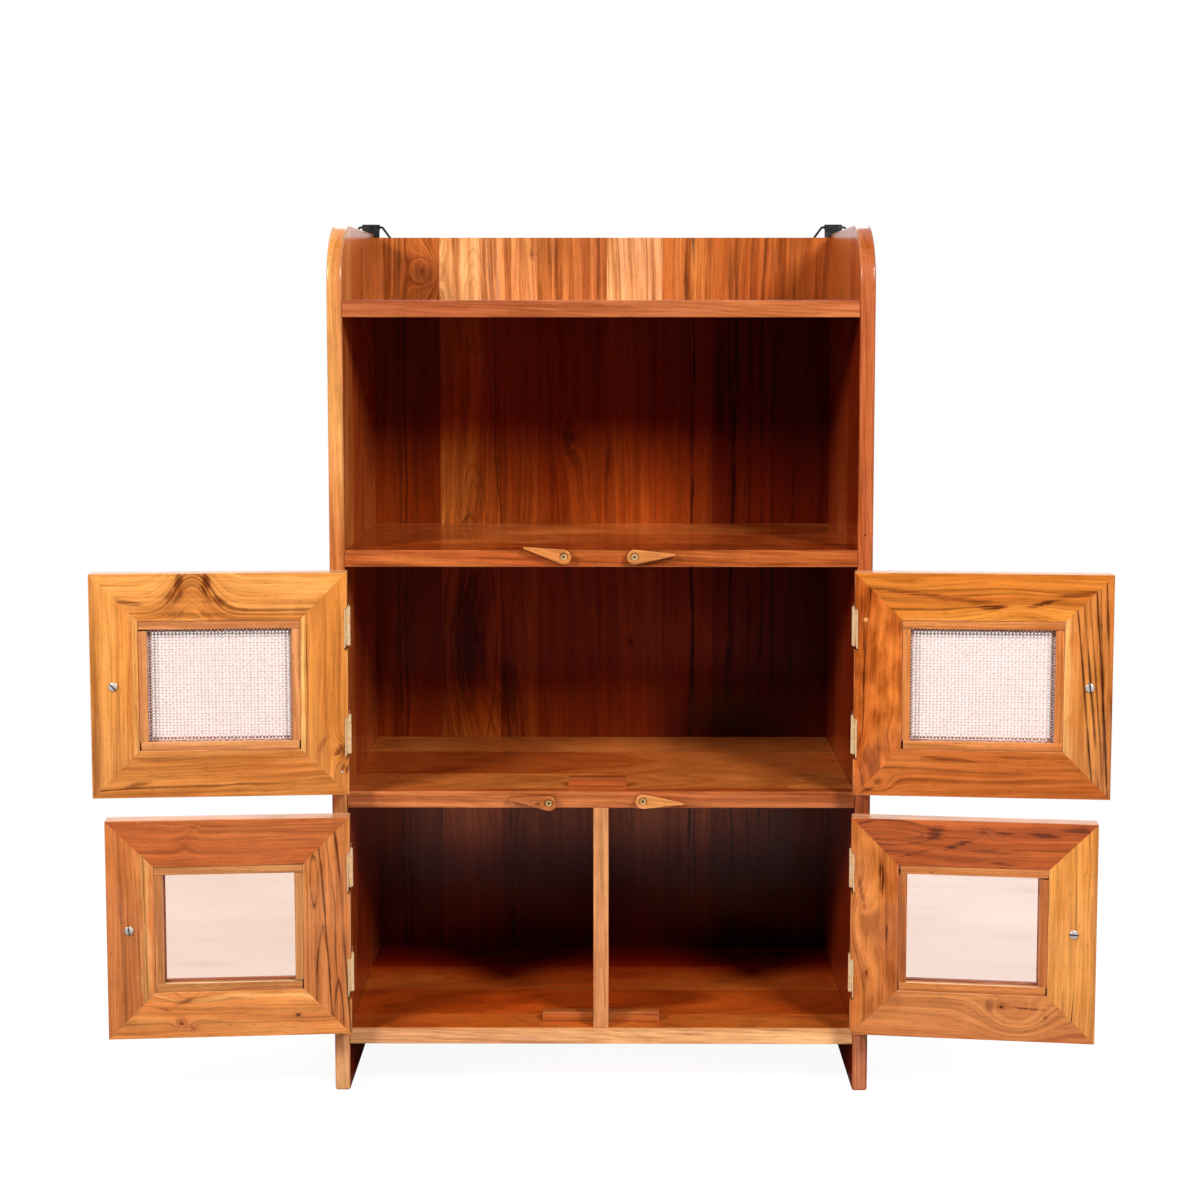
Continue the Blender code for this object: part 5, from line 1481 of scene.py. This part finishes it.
for number, name in enumerate(doorNames):
    side, hung, width, height = doorFrame(name)
    out = side * (door["edge"] + width - door["knobInset"])
    hub = hung @ Matrix.Translation((out, door["face"], height / 2)) @ toFront
    pull = bareObject(camel(name) + "Knob", lathe(knobProfile, knob["sides"]))
    layGrain(pull, plainBoard((2, 0, 1), knob["heart"], 0.0, seedOf(knob["seeds"], number)))
    settle(moveTo(pull, hub), knobFinish, f"{name}_door", "teak", f"{name}_knob", sharp=50)
    screw = bareObject(camel(name) + "KnobScrew", lathe(knobScrew, knob["screwSides"]))
    reach, half, angle = knob["slotReach"], knob["slotWidth"] / 2, knob["slotTurn"][name]
    slot = block((-reach, -half, top - knob["slotRise"]), (reach, half, top + knob["slotDepth"]))
    carve(screw, turn(slot, spun(angle, "Z")))
    # the slot is darkened: dirt and painted shade
    darkenRecess(screw, lambda c: c.z > top + tiny and inBar(c, angle, half))
    settle(moveTo(screw, hub), steelFinish, f"{name}_door", "steel", f"{name}_knob_screw", sharp=32)
print("knobs and screws made")


# Hangers: a strap rolled into an eye, and a wire bail in it
hanger = {
    "width": 0.022, "thick": 0.00155, "drop": 0.040, "roll": 285.0, "eyeInner": 0.0022, "arris": 0.0002,
    "wire": 0.0015, "wireSides": 16, "sideGap": 0.0018, "length": 0.018, "halfBase": 0.0275, "corner": 0.003,
    "cornerSteps": 8, "rollSteps": 34, "screws": (0.012, 0.029), "screwRadius": 0.0034, "screwSides": 28,
    "screwHead": ((0.0, -0.0006), (1.0, -0.0006), (1.0, 0.0002), (0.85, 0.0010), (0.5, 0.0014),
                  (0.0, 0.0015)),
}


def strapShape(eye, foot):
    outer = hanger["eyeInner"] + hanger["thick"]
    end, face, half = 180.0 - hanger["roll"], eye.y - outer, hanger["width"] / 2
    outline = [(face, foot)] + arcPoints((eye.y, eye.z), outer, 180.0, end, hanger["rollSteps"])
    outline += arcPoints((eye.y, eye.z), hanger["eyeInner"], end, 180.0, hanger["rollSteps"])
    outline += [(face + hanger["thick"], foot)]
    return ease(prism(outline, lambda a, b, c: (c, a, b), eye.x - half, eye.x + half), hanger["arris"], 1)


def bailPath():
    reach = hanger["width"] / 2 + hanger["sideGap"] + hanger["wire"]
    radius, steps = hanger["corner"], hanger["cornerSteps"]
    base, length = hanger["halfBase"], hanger["length"]
    corners = [Vector(c) for c in ((-reach, 0.0), (reach, 0.0), (base, -length), (-base, -length))]
    path = []
    for i, corner in enumerate(corners):
        backward = (corners[i - 1] - corner).normalized()
        forward = (corners[(i + 1) % 4] - corner).normalized()
        half = backward.angle(forward) / 2
        middle = corner + (backward + forward).normalized() * radius / math.sin(half)
        begin = corner + backward * radius / math.tan(half) - middle
        end = corner + forward * radius / math.tan(half) - middle
        path += [middle + begin.lerp(end, k / steps).normalized() * radius for k in range(steps + 1)]
    return path


def bailShape(eye, path):
    shape = bmesh.new()
    rings = []
    angles = [2 * math.pi * k / hanger["wireSides"] for k in range(hanger["wireSides"])]
    for i, point in enumerate(path):
        along = (path[(i + 1) % len(path)] - path[i - 1]).normalized()
        outward = Vector((along.y, -along.x))
        ring = []
        for angle in angles:
            shift = outward * hanger["wire"] * math.cos(angle)
            depth = eye.y + hanger["wire"] * math.sin(angle)
            ring.append(shape.verts.new((eye.x + point.x + shift.x, depth, eye.z + point.y + shift.y)))
        rings.append(ring)
    tube(shape, rings, closed=True)
    bmesh.ops.recalc_face_normals(shape, faces=shape.faces)
    return shape


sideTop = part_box("left_side_panel")[1].z
hangerScrew = [(out * hanger["screwRadius"], up) for out, up in hanger["screwHead"]]
for side in ("left", "right"):
    eye = Vector(swings[f"{side}_bail_swing"]["pos_m"])
    pieces = [strapShape(eye, sideTop - hanger["drop"])]
    for down in hanger["screws"]:
        place = Matrix.Translation((eye.x, eye.y - hanger["eyeInner"], sideTop - down))
        pieces.append(turn(lathe(hangerScrew, hanger["screwSides"]), place @ spun(-90, "X")))
    strap = bareObject(f"{side}Hanger", join(*pieces))
    settle(strap, ironFinish, "carcass", "iron", f"{side}_hanger", sharp=30)
    loop = bareObject(f"{side}Bail", bailShape(eye, bailPath()))
    settle(loop, ironFinish, f"{side}_bail", "iron", f"{side}_hanger_bail", sharp=60)
print("hangers made")


# Stage: a pale floor and soft boxes
studio = {
    "floorHalf": 1.5, "floorDrop": -0.0004, "paper": (150, 149, 148), "paperPale": (246, 245, 244),
    "roughness": 0.9, "ambient": 0.006, "backdrop": 1.0, "frontGloss": 0.015, "facing": (-0.10, 0.35),
    # sheen and warmth: a warm glow of the floor seen only in reflections, a painted reflection
    "contact": 0.75, "clearing": (0.7, 1.4), "nearWhite": 1.25, "sheen": 0.55, "sheenFrom": (-0.45, -0.75),
    "warmth": (255, 226, 206), "speckle": (3.0, 3.0), "speckleLevels": (0.3, 0.7),
}
white = (1.0, 1.0, 1.0, 1.0)
floorShape = bmesh.new()
bmesh.ops.create_grid(floorShape, x_segments=2, y_segments=2, size=studio["floorHalf"])
floor = bareObject("floor", floorShape)
floor.location.z = studio["floorDrop"]
floorFinish, tree, shader = blankFinish("paperFloor")
rays = put(tree, "ShaderNodeLightPath").outputs
here = put(tree, "ShaderNodeTexCoord").outputs["Object"]
away = put(tree, "ShaderNodeVectorMath", {0: here}, operation="LENGTH").outputs["Value"]
speckle = span(tree, speckled(tree, here, *studio["speckle"]), *studio["speckleLevels"])
paper = tint(tree, speckle, paint(*studio["paper"]), paint(*studio["paperPale"]))
feed(tree, paper, shader.inputs["Base Color"])
shader.inputs["Roughness"].default_value = studio["roughness"]
# in a band in front, the floor glows warm for glossy rays only: a painted reflection on the glossy backs of
# the lower bays
sheen = span(tree, parts(tree, here)[1], *studio["sheenFrom"], 0.0, studio["sheen"])
seen = larger(tree, rays["Is Camera Ray"], rays["Is Transmission Ray"])
mirrored = larger(tree, seen, rays["Is Glossy Ray"])
paperWhite = span(tree, away, *studio["clearing"], studio["nearWhite"], 1.0)
brightness = blend(tree, seen, sheen, paperWhite)
share = times(tree, mirrored, span(tree, away, *studio["clearing"], studio["contact"], 1.0))
glowTint = tint(tree, seen, paint(*studio["warmth"]), white)
glow = put(tree, "ShaderNodeEmission", {"Color": glowTint, "Strength": brightness}).outputs[0]
mixed = put(tree, "ShaderNodeMixShader", {0: share, 1: shader.outputs[0], 2: glow}).outputs[0]
tree.links.new(mixed, tree.nodes["Material Output"].inputs["Surface"])
floor.data.materials.append(floorFinish)

world = bpy.data.worlds.new("studioRoom")
bpy.context.scene.world = world
world.use_nodes = True
tree = world.node_tree
rays = put(tree, "ShaderNodeLightPath").outputs
toward = parts(tree, put(tree, "ShaderNodeTexCoord").outputs["Generated"])
behind = span(tree, toward[1], *studio["facing"], studio["frontGloss"], studio["backdrop"])
seen = larger(tree, rays["Is Camera Ray"], rays["Is Transmission Ray"])
dim = blend(tree, rays["Is Glossy Ray"], studio["ambient"], behind)
strength = blend(tree, seen, dim, studio["backdrop"])
sky = tree.nodes["Background"]
sky.inputs["Color"].default_value = white
tree.links.new(strength, sky.inputs["Strength"])

softBoxes = {
    "leftBox": {"place": (-1.86, -1.74, 1.95), "aim": (0.0, 0.0, 0.5), "size": (0.5, 0.65), "power": 57.0},
    "rightBox": {"place": (1.28, -1.74, 1.95), "aim": (0.0, 0.0, 0.5), "size": (0.5, 0.65), "power": 49.0},
    "rearBox": {"place": (0.0, 2.8, 2.6), "aim": (0.0, 0.0, 0.6), "size": (1.6, 1.2), "power": 30.0},
    "backGlow": {"place": (0.0, 2.4, 0.9), "aim": (0.0, 0.0, 0.6), "size": (3.6, 2.2), "power": 25.0},
    "floorBounce": {"place": (0.0, -0.85, 0.012), "aim": (0.0, -0.25, 0.9), "size": (1.2, 0.4), "power": 1.2},
}
for name, box in softBoxes.items():
    lampData = bpy.data.lights.new(name, "AREA")
    lampData.shape = "RECTANGLE"
    lampData.size, lampData.size_y = box["size"]
    lampData.energy = box["power"]
    lamp = bpy.data.objects.new(name, lampData)
    lamp.location = box["place"]
    lamp.visible_camera = False
    lamp.visible_glossy = name.endswith("Box")
    lamp.rotation_euler = (Vector(box["aim"]) - Vector(box["place"])).to_track_quat("-Z", "Y").to_euler()
    bpy.context.scene.collection.objects.link(lamp)
print("stage and lights set")
